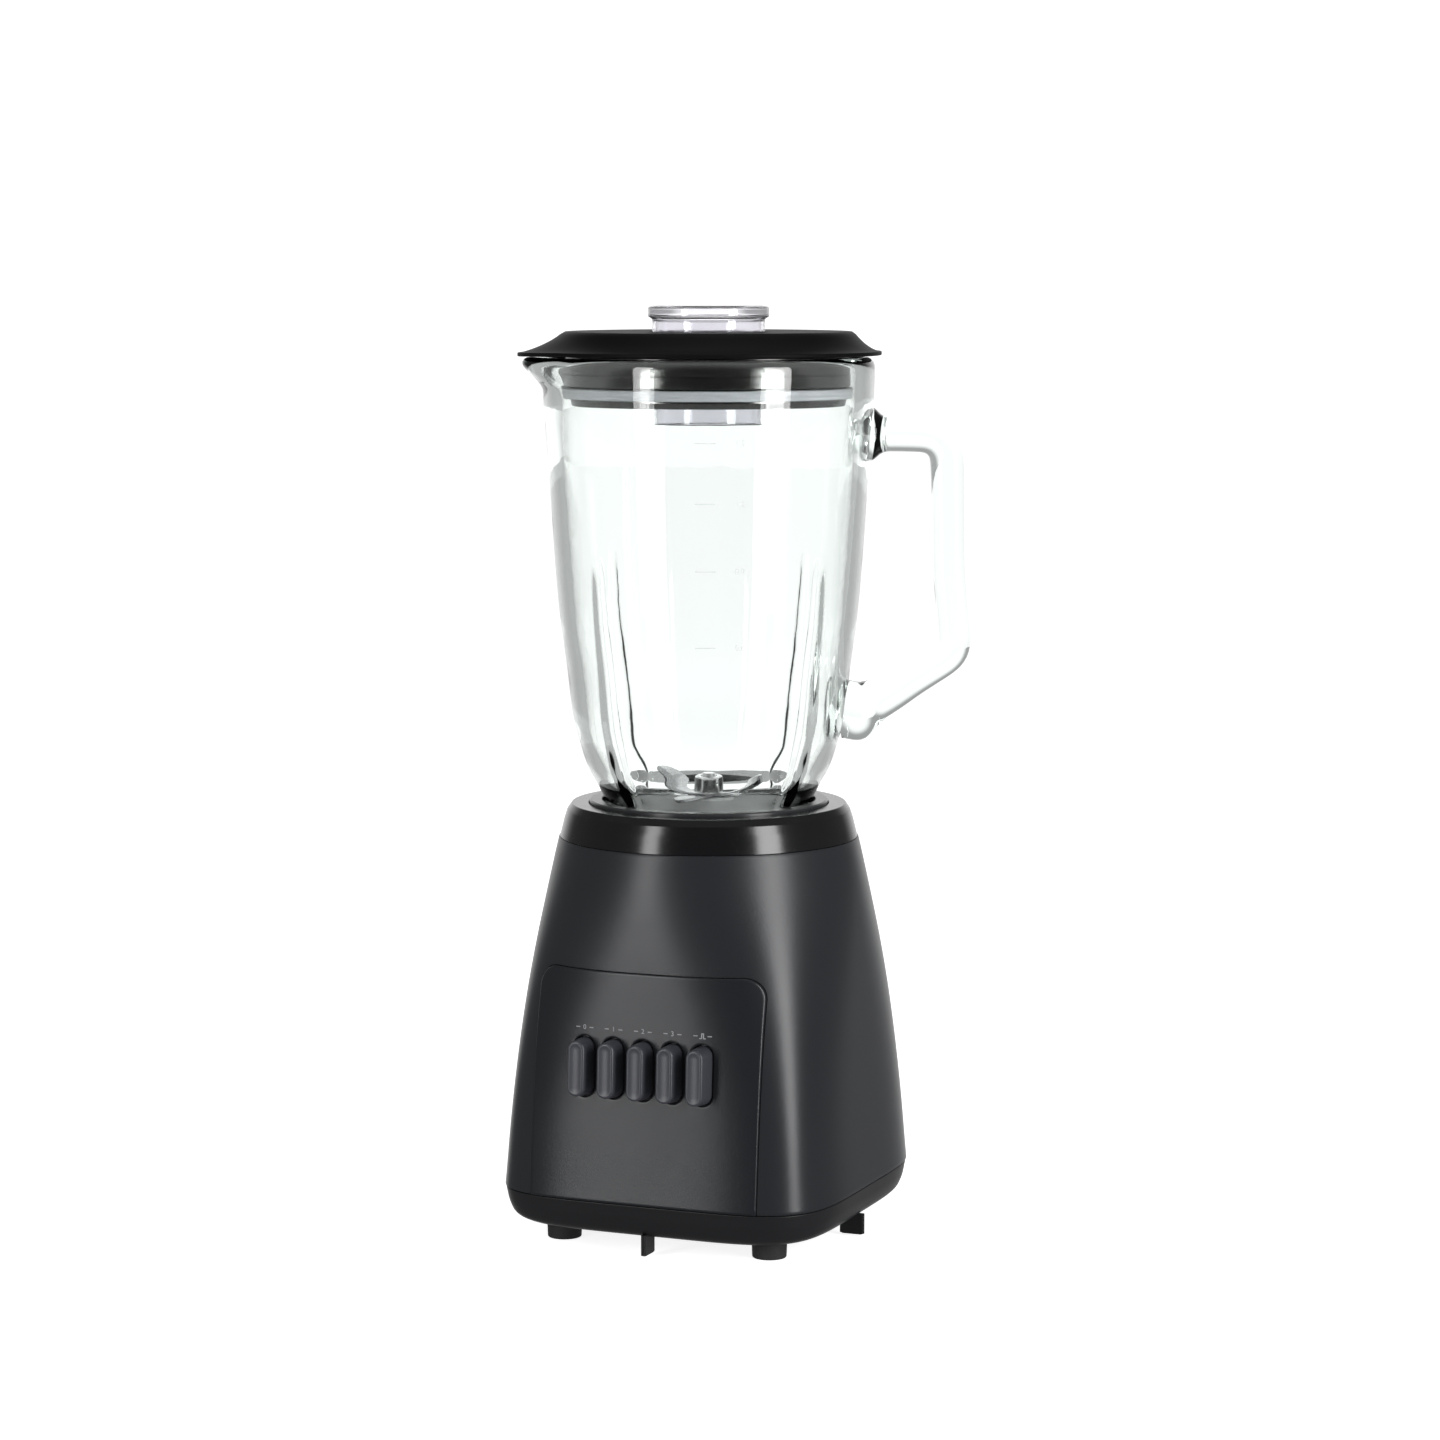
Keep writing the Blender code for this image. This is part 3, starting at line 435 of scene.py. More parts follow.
def finishes():
    """Every finish by name, made once."""
    shades = bpy.context.scene.blender_colours
    return {
        "housing": moulded("housing_satin", shades.housing, 0.32, specular=0.42),
        "panel": moulded("panel_satin", shades.panel, 0.31, 2200.0, specular=0.42),
        "keys": moulded("key_satin", shades.keys, 0.34, 3000.0, 0.00001),
        "lid": moulded("lid_matt", shades.lid, 0.48, 1800.0, 0.00003, 0.05),
        "tray": moulded("tray_matt", (0.0125, 0.0128, 0.0140), 0.42, 1600.0, 0.00003, 0.3),
        "seat": moulded("seat_plastic", (0.028, 0.029, 0.031), 0.24),
        "cast": plain_metal("cast_alloy", (0.45, 0.45, 0.46), 0.42),
        # The blade holder is steel; this near-white base with no metal makes it show bright through the glass: painted
        # reflection.
        "plate": turned_metal("satin_plate", (0.95, 0.95, 0.95), 0.55, 0.0),
        "gloss_black": polished_plastic("deck_gloss", shades.gloss),
        "band": turned_metal("polished_band", (0.175, 0.172, 0.170), 0.13),
        "seal": soft_silicone("seal_silicone", (0.25, 0.26, 0.27)),
        "gasket": soft_silicone("gasket_silicone", shades.gasket),
        "glass": clear_glass(),
        "clear": clear_plastic(),
        "steel": turned_metal("turned_steel", (0.60, 0.60, 0.60), 0.16),
        "blade": plain_metal("blade_steel", (0.50, 0.50, 0.51), 0.20, 500.0),
        "copper": wound_copper(),
        "bronze": plain_metal("sintered_bronze", (0.50, 0.30, 0.12), 0.36),
        "laminate": stacked_steel(),
        "carbon": carbon_block(),
        "board": board_resin(),
        "nylon": moulded("bright_nylon", (0.055, 0.055, 0.056), 0.42, 1500.0),
        "rubber": rubber(),
        "ink": ink("panel_ink", shades.print),
        "scale": ink("scale_ink", (0.68, 0.70, 0.70)),
    }


FINISH = {}


# ---------------------------------------------------------------- shapes

def ease(low, high, value):
    share = np.clip((np.asarray(value, float) - low) / (high - low), 0, 1)
    return share * share * (3 - 2 * share)


def flow(knots, places):
    """Values on a smooth curve through the knots that never swings past them."""
    x, y = np.array(knots, float).T
    step = np.diff(x)
    slope = np.diff(y) / step
    lean = np.concatenate([[slope[0]], np.zeros(len(x) - 2), [slope[-1]]])
    for i in range(1, len(x) - 1):
        if slope[i - 1] * slope[i] > 0:
            first = 2 * step[i] + step[i - 1]
            second = step[i] + 2 * step[i - 1]
            lean[i] = (first + second) / (first / slope[i - 1] + second / slope[i])
    k = np.clip(np.searchsorted(x, places) - 1, 0, len(step) - 1)
    t = (places - x[k]) / step[k]
    ends = (2 * t**3 - 3 * t**2 + 1) * y[k] + (3 * t**2 - 2 * t**3) * y[k + 1]
    return ends + ((t**3 - 2 * t**2 + t) * lean[k] + (t**3 - t**2) * lean[k + 1]) * step[k]


def rounded(corners, steps=4, looped=True):
    """An outline through the corners, each rounded to its own radius, with a point held close beside every bend."""
    out = []
    count = len(corners)
    for i, (across, up, radius) in enumerate(corners):
        here = Vector((across, up))
        if radius == 0 or (not looped and i in (0, count - 1)):
            out.append((across, up))
            continue
        before = Vector(corners[i - 1][:2]) - here
        after = Vector(corners[(i + 1) % count][:2]) - here
        first, second = before.normalized(), after.normalized()
        half = first.angle(second) / 2
        reach = min(radius / math.tan(half), 0.46 * before.length, 0.46 * after.length)
        turn = reach * math.tan(half)
        centre = here + (first + second).normalized() * (turn / math.sin(half))
        start = here + first * reach - centre
        end = here + second * reach - centre
        begin = math.atan2(start.y, start.x)
        sweep = (math.atan2(end.y, end.x) - begin + math.pi) % FULL_TURN - math.pi
        hold = min(0.35 * turn, 0.03 * before.length, 0.03 * after.length)
        out.append(tuple(here + first * (reach + hold)))
        for step in range(steps + 1):
            angle = begin + sweep * step / steps
            out.append((centre.x + turn * math.cos(angle), centre.y + turn * math.sin(angle)))
        out.append(tuple(here + second * (reach + hold)))
    return out


def turned(outline, steps=160, bend=None, centre=None, start=0.0):
    """Rings round an upright axis, one for each point of the outline, pushed about by bend where it is given."""
    radius, height = np.array(outline, float).T[:, :, None]
    angle = start + np.arange(steps) * FULL_TURN / steps
    radius = radius + 0 * angle
    height = height + 0 * angle
    if bend:
        radius, height = bend(radius, height, angle)
    x, y = centre or AXIS
    return np.stack([x + radius * np.cos(angle), y + radius * np.sin(angle), height], -1)


def outward(points, faces):
    """The same shape with its faces pointing out of it."""
    total = 0.0
    for sides in (3, 4):
        picked = np.array([face for face in faces if len(face) == sides], int)
        if len(picked):
            corners = points[picked]
            for k in range(1, sides - 1):
                cross = np.cross(corners[:, k], corners[:, k + 1])
                total += float((corners[:, 0] * cross).sum())
    return points, faces if total > 0 else [face[::-1] for face in faces]


def skin(rings, looped=True):
    """A closed shape over rings of points: the last meets the first, or both ends are capped."""
    rows, columns, _ = rings.shape
    index = np.arange(rows * columns).reshape(rows, columns)
    low, high = (index, np.roll(index, -1, 0)) if looped else (index[:-1], index[1:])
    quads = np.stack([low, np.roll(low, -1, 1), np.roll(high, -1, 1), high], -1)
    points = rings.reshape(-1, 3)
    faces = quads.reshape(-1, 4).tolist()
    if not looped:
        points = np.vstack([points, rings[0].mean(0), rings[-1].mean(0)])
        for ring, hub in ((index[0][::-1], rows * columns), (index[-1], rows * columns + 1)):
            faces += [[int(a), int(b), hub] for a, b in zip(ring, np.roll(ring, -1))]
    return outward(points, faces)


def mesh_of(name, *shapes):
    """One mesh out of several closed shapes."""
    mesh = bpy.data.meshes.new(name)
    points, faces = [], []
    for some_points, some_faces in shapes:
        shift = len(points)
        points += np.asarray(some_points).tolist()
        faces += [[index + shift for index in face] for face in some_faces]
    mesh.from_pydata(points, [], faces)
    mesh.update()
    return mesh


def shape_of(mesh):
    """A mesh back as points and faces."""
    return np.array([list(v.co) for v in mesh.vertices]), [list(p.vertices) for p in mesh.polygons]


def block(low, high):
    """A plain block between two corners, used as a cutter or a tiny part of a larger piece."""
    corners = [(low[0], low[1]), (high[0], low[1]), (high[0], high[1]), (low[0], high[1])]
    rings = np.array([[(x, y, z) for x, y in corners] for z in (low[2], high[2])], float)
    return skin(rings, False)


def moved(shape, matrix):
    points, faces = shape
    turn = np.array(matrix.to_3x3())
    return np.asarray(points) @ turn.T + np.array(matrix.translation), faces


def linked(mesh, name="helper"):
    helper = bpy.data.objects.new(name, mesh)
    bpy.context.scene.collection.objects.link(helper)
    return helper


def applied(helper, *others):
    """The helper's mesh with its modifiers worked in. The helpers are then gone."""
    graph = bpy.context.evaluated_depsgraph_get()
    mesh = bpy.data.meshes.new_from_object(helper.evaluated_get(graph))
    for item in (helper, *others):
        bpy.data.objects.remove(item, do_unlink=True)
    return mesh


def carved(base, tool, operation="DIFFERENCE"):
    """The base mesh with the tool's mesh cut away or added."""
    target, cutter = linked(base), linked(tool)
    change = target.modifiers.new("carve", "BOOLEAN")
    change.operation = operation
    change.solver = "EXACT"
    change.object = cutter
    return applied(target, cutter)


def settle(name, mesh, body, slot, finish, *nodes, sharp=32):
    """Puts a finished mesh in the scene as a piece that moves with its body and stands for CAD nodes."""
    if not mesh.polygons:
        raise RuntimeError(f"{name} came out empty")
    mesh.name = name
    mesh.materials.clear()
    mesh.materials.append(FINISH[finish])
    mesh.shade_smooth()
    mesh.set_sharp_from_angle(angle=math.radians(sharp))
    piece = bpy.data.objects.new(name, mesh)
    bpy.context.scene.collection.objects.link(piece)
    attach(piece, body)
    if nodes:
        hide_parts(*nodes)
    return piece


# ---------------------------------------------------------------- geometry node trees

def tree_with(name, inputs):
    group = bpy.data.node_groups.new(name, "GeometryNodeTree")
    group.interface.new_socket("Geometry", in_out="OUTPUT", socket_type="NodeSocketGeometry")
    for label, kind in inputs:
        group.interface.new_socket(label, in_out="INPUT", socket_type="NodeSocket" + kind)
    tree = Tree(group)
    entry = group.nodes.new("NodeGroupInput")
    return tree, {label: Socket(tree, entry.outputs[label]) for label, _ in inputs}


def close_tree(tree, geometry, finish):
    """Every tree ends the same way: real geometry, then its finish."""
    real = tree.node("GeometryNodeRealizeInstances", {}, {0: geometry})
    done = tree.node("GeometryNodeSetMaterial", {}, {"Geometry": real, "Material": finish})
    tree.node("NodeGroupOutput", {}, {0: done})
    return tree.tree


def grown(group, values):
    """A helper whose modifier runs the tree with these values."""
    helper = linked(bpy.data.meshes.new("grown"))
    modifier = helper.modifiers.new("rule", "NODES")
    modifier.node_group = group
    for item in group.interface.items_tree:
        if item.in_out == "INPUT":
            modifier[item.identifier] = values[item.name]
    return helper


def ring_tree():
    """Copies of one item in a ring round the axis, each turned to face outwards."""
    tree, given = tree_with("ring_of_items", [
        ("Item", "Object"), ("Count", "Int"), ("Radius", "Float"), ("Height", "Float"), ("Turn", "Float"),
        ("Finish", "Material"),
    ])
    angle = tree.node("GeometryNodeInputIndex") * FULL_TURN / given["Count"] + given["Turn"]
    x = angle.sum("COSINE", angle) * given["Radius"] + AXIS[0]
    y = angle.sum("SINE", angle) * given["Radius"] + AXIS[1]
    place = tree.node("ShaderNodeCombineXYZ", {}, {0: x, 1: y, 2: given["Height"]})
    points = tree.node("GeometryNodeMeshLine", {}, {"Count": given["Count"]})
    points = tree.node("GeometryNodeSetPosition", {}, {"Geometry": points, "Position": place})
    item = tree.node("GeometryNodeObjectInfo", {}, {"Object": given["Item"]}, "Geometry")
    turn = tree.node("ShaderNodeCombineXYZ", {}, {2: angle})
    copies = tree.node(
        "GeometryNodeInstanceOnPoints", {}, {"Points": points, "Instance": item, "Rotation": turn}
    )
    return close_tree(tree, copies, given["Finish"])


def ring_of(item, count, radius, height, finish, turn=0.0):
    """The ring tree's result as a shape."""
    source = linked(mesh_of("item", item))
    values = {
        "Item": source, "Count": count, "Radius": radius, "Height": height, "Turn": turn, "Finish": FINISH[finish]
    }
    return shape_of(applied(grown(ring_tree(), values), source))


def housing_tree():
    """The housing's skin: a square with soft corners at the foot that turns into a circle at the top."""
    tree, given = tree_with("housing_rule", [
        ("Foot Height", "Float"), ("Top Height", "Float"), ("Half Width", "Float"), ("Squareness", "Float"),
        ("Finish", "Material"),
    ])
    around, up = 360, 96
    grid = tree.node(
        "GeometryNodeMeshGrid", {}, {"Size X": 1.0, "Size Y": 1.0, "Vertices X": around + 1, "Vertices Y": up}
    )
    place = tree.node("GeometryNodeInputPosition")
    u, v = [tree.node("ShaderNodeSeparateXYZ", {}, {0: place}, axis) + 0.5 for axis in "XY"]
    angle = u * FULL_TURN
    height = given["Foot Height"] + v * (given["Top Height"] - given["Foot Height"])
    half = given["Half Width"] - 0.011726 * v + 0.00598 * v ** 2 - 0.004773 * v ** 8
    power = 2.0 + (given["Squareness"] - 2.0) * (1.0 - tree.ease(height, 0.040, 0.168))
    side = angle.sum("ABSOLUTE", angle.sum("COSINE", angle)) ** power
    side = side + angle.sum("ABSOLUTE", angle.sum("SINE", angle)) ** power
    radius = half / side ** (1.0 / power)
    x = radius * angle.sum("COSINE", angle) + AXIS[0]
    y = radius * angle.sum("SINE", angle) + AXIS[1]
    there = tree.node("ShaderNodeCombineXYZ", {}, {0: x, 1: y, 2: height})
    shell = tree.node("GeometryNodeSetPosition", {}, {"Geometry": grid, "Position": there})
    shell = tree.node("GeometryNodeMergeByDistance", {}, {"Geometry": shell, "Distance": 0.000002})
    return close_tree(tree, shell, given["Finish"])


# ---------------------------------------------------------------- the base

def half_at(z):
    """The housing's half width, on the same rule as its tree."""
    v = (np.asarray(z, float) - 0.0233) / 0.146
    return 0.074463 - 0.011726 * v + 0.00598 * v**2 - 0.004773 * v**8


def power_at(z):
    return 2 + 3 * (1 - ease(0.040, 0.168, z))


def front_at(x, z, proud=0.0):
    """Y of the housing's front wall, measured from the axis."""
    power = power_at(z)
    return -(((half_at(z) + proud) ** power - np.abs(x) ** power) ** (1 / power))


def squared_ring(half, z, steps=240):
    """One ring of the tray's own form."""
    angle = np.arange(steps) * FULL_TURN / steps
    radius = half / (np.abs(np.cos(angle)) ** 5 + np.abs(np.sin(angle)) ** 5) ** 0.2
    return np.stack([AXIS[0] + radius * np.cos(angle), AXIS[1] + radius * np.sin(angle), z + 0 * angle], -1)


def capsule(width, height, steps=48):
    """Outline of a slot with round ends, drawn round its middle."""
    radius = width / 2
    straight = (height - width) / 2
    angle = (np.arange(steps) + 0.5) * FULL_TURN / steps
    return np.stack([radius * np.cos(angle), radius * np.sin(angle) + np.sign(np.sin(angle)) * straight], -1)


def inset(outline, distance):
    """The outline drawn again, further in by this distance."""
    back = np.roll(outline, 1, 0) - outline
    ahead = np.roll(outline, -1, 0) - outline
    back /= np.linalg.norm(back, axis=1)[:, None]
    ahead /= np.linalg.norm(ahead, axis=1)[:, None]
    normal = np.stack([ahead[:, 1] - back[:, 1], back[:, 0] - ahead[:, 0]], -1)
    normal /= np.linalg.norm(normal, axis=1)[:, None]
    cosine = np.clip(np.sqrt((1 - (back * ahead).sum(1)) / 2), 0.3, 1)
    area = (outline[:, 0] * np.roll(outline[:, 1], -1) - outline[:, 1] * np.roll(outline[:, 0], -1)).sum()
    return outline - normal * (distance * np.sign(area) / cosine)[:, None]


def inside(outline, points):
    """Which points lie within the outline."""
    hits = np.zeros(len(points), int)
    for (x0, y0), (x1, y1) in zip(outline, np.roll(outline, -1, 0)):
        spans = (y0 > points[:, 1]) != (y1 > points[:, 1])
        with np.errstate(divide="ignore", invalid="ignore"):
            cross = x0 + (points[:, 1] - y0) * (x1 - x0) / (y1 - y0)
        hits += spans & (points[:, 0] < cross)
    return hits % 2 == 1


def front_plate(outline, holes, face, back, edge):
    """A plate that follows the housing's front, with rounded edges round its outline and its holes."""
    flat, heights, edges = [], [], []
    for loop, side in [(outline, 1)] + [(hole, -1) for hole in holes]:
        for step in range(5):
            angle = math.pi / 2 * min(step, 3) / 3
            inner = edge * (1 - math.cos(angle)) + (0.0006 if step == 4 else 0.0)
            drawn = inset(loop, side * inner)
            first = len(flat)
            flat += drawn.tolist()
            heights += [-edge * (1 - math.sin(angle))] * len(drawn)
            edges += [(first + i, first + (i + 1) % len(drawn)) for i in range(len(drawn))]
    low, high = outline.min(0), outline.max(0)
    across = np.arange(low[0], high[0], 0.003)
    up = np.arange(low[1], high[1], 0.003)
    grid = np.array([(x, z) for x in across for z in up])
    keep = inside(inset(outline, edge + 0.0016), grid)
    for hole in holes:
        keep &= ~inside(inset(hole, -edge - 0.0016), grid)
    flat += grid[keep].tolist()
    heights += [0.0] * int(keep.sum())
    made, _, faces, origin, _, _ = delaunay_2d_cdt([Vector(p) for p in flat], edges, [], 0, 1e-7)
    points = np.array([tuple(p) for p in made])
    lift = np.array([heights[which[0]] if which else 0.0 for which in origin])
    middles = np.array([points[list(face)].mean(0) for face in faces])
    real = inside(outline, middles)
    for hole in holes:
        real &= ~inside(hole, middles)
    faces = [list(face) for face, keep_it in zip(faces, real) if keep_it]
    count = len(points)
    sheets = []
    for level in (face + lift, back + 0 * lift):
        y = front_at(points[:, 0], points[:, 1], level)
        sheets.append(np.stack([AXIS[0] + points[:, 0], AXIS[1] + y, points[:, 1]], -1))
    walls = {}
    for face in faces:
        for a, b in zip(face, face[1:] + face[:1]):
            walls[(a, b)] = walls.get((a, b), 0) + 1
    rim = [(a, b) for a, b in walls if (b, a) not in walls]
    closed = faces + [[index + count for index in face[::-1]] for face in faces]
    closed += [[b, a, a + count, b + count] for a, b in rim]
    used = sorted({index for face in closed for index in face})
    renumber = {index: place for place, index in enumerate(used)}
    closed = [[renumber[index] for index in face] for face in closed]
    return outward(np.vstack(sheets)[used], closed)


def panel_outline(grow=0.0, low=SEAM_Z):
    half, top, corner = PANEL_HALF + grow, PANEL_TOP + grow, PANEL_CORNER + grow
    points = [(x, low) for x in np.linspace(-half, half, 35)]
    points += [(half, z) for z in np.linspace(low, top - corner, 32)[1:-1]]
    for side, first in ((1, 0.0), (-1, math.pi / 2)):
        for i in range(13):
            angle = first + math.pi / 2 * i / 12
            points.append((side * (half - corner) + corner * math.cos(angle), top - corner + corner * math.sin(angle)))
        if side == 1:
            points += [(x, top) for x in np.linspace(half - corner, corner - half, 30)[1:-1]]
    points += [(-half, z) for z in np.linspace(top - corner, low, 32)[1:-1]]
    return np.array(points)


def key_tilt():
    rise = float(front_at(0.0, KEY_Z + 0.01) - front_at(0.0, KEY_Z - 0.01))
    return math.atan2(rise, 0.02)


def key_frames():
    """Where each key stands on the panel, and which way it faces."""
    y = float(front_at(0.0, KEY_Z, PANEL_PROUD))
    turn = Matrix.Rotation(math.pi / 2 - key_tilt(), 4, "X")
    places = [AXIS[0] + KEY_PITCH * (i - 2) for i in range(len(KEY_NAMES))]
    return [Matrix.Translation((x, AXIS[1] + y, KEY_Z)) @ turn for x in places]


def upright_tube(x, y, low, high, outer, inner, steps=32):
    """A tube with softened edges, standing off the axis."""
    soft = 0.0003
    corners = [(inner, low, soft), (outer, low, soft), (outer, high, soft), (inner, high, soft)]
    return skin(turned(rounded(corners, 2), steps, centre=(x, y)))


def foot_places():
    return [(AXIS[0] + x * FOOT_REACH, AXIS[1] + y * FOOT_REACH) for x, y in ((1, 1), (-1, 1), (-1, -1), (1, -1))]


class OBJECT_OT_blender_housing(bpy.types.Operator):
    """Builds the housing from its rule, with the panel's pocket, the key window and the screw posts"""

    bl_idname = "object.blender_housing"
    bl_label = "Housing"

    def execute(self, context):
        sizes = context.scene.blender_sizes
        helper = grown(housing_tree(), {
            "Foot Height": SEAM_Z, "Top Height": 0.1693, "Half Width": 0.074463, "Squareness": 5.0,
            "Finish": FINISH["housing"],
        })
        wall = helper.modifiers.new("wall", "SOLIDIFY")
        wall.thickness = sizes.wall
        wall.offset = -1.0
        edge = helper.modifiers.new("edge", "BEVEL")
        edge.width = 0.00025
        edge.segments = 2
        edge.limit_method = "ANGLE"
        edge.angle_limit = math.radians(60)
        mesh = applied(helper)
        pocket = front_plate(panel_outline(0.0003, 0.0150), [], 0.004, PANEL_PROUD - PANEL_THICK - 0.0003, 0.0)
        mesh = carved(mesh, mesh_of("pocket", pocket))
        reach = KEY_PITCH * 2 + 0.0068
        low = (AXIS[0] - reach, AXIS[1] - 0.085, KEY_Z - 0.0165)
        high = (AXIS[0] + reach, AXIS[1] - 0.050, KEY_Z + 0.0165)
        bore = moved(skin(turned([(0.0053, -0.015), (0.0053, 0.015)], 48, centre=(0.0, 0.0)), False),
                     Matrix.Translation((AXIS[0], AXIS[1] + 0.070, INLET_Z)) @ Matrix.Rotation(math.pi / 2, 4, "X"))
        mesh = carved(mesh, mesh_of("window", block(low, high), bore))
        tubes = [upright_tube(x, y, 0.024, 0.050, 0.0045, 0.00185) for x, y in foot_places()]
        mesh = carved(mesh, mesh_of("posts", *tubes), "UNION")
        settle("housing_shell", mesh, "base", "housing", "housing", "housing", sharp=38)
        return {"FINISHED"}


class OBJECT_OT_blender_panel(bpy.types.Operator):
    """Builds the control panel with five slots, and the digits printed above them"""

    bl_idname = "object.blender_panel"
    bl_label = "Control panel"

    def execute(self, context):
        sizes = context.scene.blender_sizes
        slots = []
        for i in range(len(KEY_NAMES)):
            slot = capsule(sizes.key_width + 0.0012, sizes.key_height + 0.0012)
            slots.append(slot + np.array([KEY_PITCH * (i - 2), KEY_Z]))
        plate = front_plate(panel_outline(), slots, PANEL_PROUD, PANEL_PROUD - PANEL_THICK, 0.0006)
        settle("panel_plate", mesh_of("panel", plate), "base", "panel", "panel", "control_panel", sharp=40)
        z = KEY_Z + sizes.key_height / 2 + 0.0042
        shapes = []
        for i in range(len(KEY_NAMES)):
            x = KEY_PITCH * (i - 2)
            if i < 4:
                shapes.append(printed(str(i), sizes.digit_height * 0.85, x, z))
            else:
                steps = [(-1.2, -1), (-0.4, -1), (-0.4, 1), (0.4, 1), (0.4, -1), (1.2, -1)]
                for (x0, z0), (x1, z1) in zip(steps, steps[1:]):
                    low = (x + min(x0, x1) * 0.001 - 0.0002, z + min(z0, z1) * 0.001 - 0.0002)
                    high = (x + max(x0, x1) * 0.001 + 0.0002, z + max(z0, z1) * 0.001 + 0.0002)
                    shapes.append(flat_bar(low, high))
            for side in (-1, 1):
                near, far = sorted((x + side * 0.0022, x + side * 0.0040))
                shapes.append(flat_bar((near, z - 0.00018), (far, z + 0.00018)))
        laid = [on_front(shape, PANEL_PROUD) for shape in shapes]
        settle("panel_digits", mesh_of("digits", *laid), "base", "panel", "ink")
        return {"FINISHED"}


def flat_bar(low, high):
    """A bar of ink in the plane of x and y, cut in short lengths so that it can bend."""
    cuts = np.linspace(low[0], high[0], 4)
    rings = [[(x, y, z) for y, z in ((low[1], -0.00003), (high[1], -0.00003), (high[1], 0.00003), (low[1], 0.00003))]
             for x in cuts]
    return skin(np.array(rings), False)


def printed(text, size, x, y):
    """A digit as a thin solid in the plane of x and y."""
    curve = bpy.data.curves.new("digit", "FONT")
    curve.body = text
    curve.size = size
    curve.align_x = "CENTER"
    curve.align_y = "CENTER"
    curve.extrude = 0.00003
    curve.resolution_u = 5
    mesh = applied(linked(curve))
    shell = bmesh.new()
    shell.from_mesh(mesh)
    bmesh.ops.remove_doubles(shell, verts=shell.verts, dist=1e-7)
    bmesh.ops.recalc_face_normals(shell, faces=shell.faces)
    shell.to_mesh(mesh)
    shell.free()
    points, faces = shape_of(mesh)
    return points + np.array([x, y, 0.0]), faces


def on_front(shape, proud):
    """Lays a flat print on the housing's front."""
    points, faces = shape
    lift = proud + points[:, 2] + 0.00002
    y = front_at(points[:, 0], points[:, 1], lift)
    return np.stack([AXIS[0] + points[:, 0], AXIS[1] + y, points[:, 1]], -1), faces


class OBJECT_OT_blender_keys(bpy.types.Operator):
    """Builds the five keys, each with a stem, a holding flange and a dished face"""

    bl_idname = "object.blender_keys"
    bl_label = "Keys"

    def execute(self, context):
        sizes = context.scene.blender_sizes
        width, height, proud = sizes.key_width, sizes.key_height, sizes.key_proud
        levels = [
            (-0.0040, -0.0120, -0.0080), (-0.0040, -0.0120, -0.0050), (0.0026, 0.0026, -0.0048),
            (0.0026, 0.0026, -0.0033), (0.0, 0.0, -0.0031), (0.0, 0.0, 0.0005), (-0.0006, -0.0006, proud - 0.0034),
            (-0.0010, -0.0010, proud - 0.0012),
        ]
        for i in range(1, 6):
            angle = math.pi / 2 * i / 5
            shrink = -0.0010 - 0.0020 * (1 - math.cos(angle))
            levels.append((shrink, shrink, proud - 0.0010 + 0.0010 * math.sin(angle)))
        for i in range(1, 7):
            shrink = -0.0030 - (width - 0.0034) * i / 6
            levels.append((shrink, shrink, proud - sizes.key_dish * (1 - (1 - i / 6) ** 2)))
        rings = []
        for wider, taller, z in levels:
            loop = capsule(width + wider, height + taller)
            rings.append(np.column_stack([loop, np.full(len(loop), z)]))
        shape = skin(np.array(rings), False)
        for name, place in zip(KEY_NAMES, key_frames()):
            settle(f"{name}_cap", mesh_of(name, moved(shape, place)), name, "keys", "keys", name, sharp=34)
        return {"FINISHED"}


class OBJECT_OT_blender_deck(bpy.types.Operator):
    """Builds the glossy collar on top of the housing and the seat that takes the jar"""

    bl_idname = "object.blender_deck"
    bl_label = "Deck and jar seat"

    def execute(self, context):
        collar = rounded([
            (0.0636, 0.16938, 0.0001), (0.0617, 0.1771, 0.02), (0.0605, 0.1808, 0.0014), (0.0585, 0.1836, 0.0006),
            (0.0513, 0.1836, 0.0004), (0.0513, 0.1808, 0.0003), (0.0572, 0.1808, 0.0006), (0.0605, 0.16938, 0.0004),
        ], 6)
        settle("deck_collar", mesh_of("deck", skin(turned(collar, 240))), "base", "gloss_black", "gloss_black",
               "top_collar", sharp=50)
        seat = rounded([
            (0.0456, 0.150, 0.0006), (0.0456, 0.1852, 0.0006), (0.0504, 0.1852, 0.0006), (0.0510, 0.1846, 0.0002),
            (0.0510, 0.1804, 0.0003), (0.0568, 0.1804, 0.0003), (0.0568, 0.1784, 0.0003), (0.0482, 0.1784, 0.0008),
            (0.0482, 0.147, 0.0008), (0.016, 0.147, 0.0004), (0.016, 0.150, 0.0004),
        ], 4)
        settle("jar_seat_cup", mesh_of("seat", skin(turned(seat, 200))), "base", "gloss_black", "seat",
               "jar_seat", sharp=45)
        lugs = ring_of(driving_lug(0.152, 0.1558), 3, 0.0096, 0.0, "nylon")
        hub = rounded([(0.004, 0.146, 0.0003), (0.013, 0.146, 0.0006), (0.013, 0.152, 0.0006), (0.004, 0.152, 0.0003)])
        drive = carved(mesh_of("drive", skin(turned(hub, 96))), mesh_of("lugs", lugs), "UNION")
        settle("drive_coupler_star", drive, "rotor", "nylon", "nylon", "drive_coupler")
        return {"FINISHED"}


def driving_lug(low, high):
    """One driving lug with softened upright edges."""
    corners = [(x, y, 0.0012) for x, y in ((-0.0027, -0.003), (0.0033, -0.003), (0.0033, 0.003), (-0.0027, 0.003))]
    loop = np.array(rounded(corners, 4))
    tip = 0.0006 if high > 0.154 else 0.0
    levels = [(low - 0.0008, 1.0 if tip else 0.86), (low + (0 if tip else 0.0007), 1.0),
              (high - tip, 1.0), (high if tip else high + 0.001, 0.86 if tip else 1.0)]
    rings = [np.column_stack([loop * share, np.full(len(loop), z)]) for z, share in levels]
    return skin(np.array(rings), False)


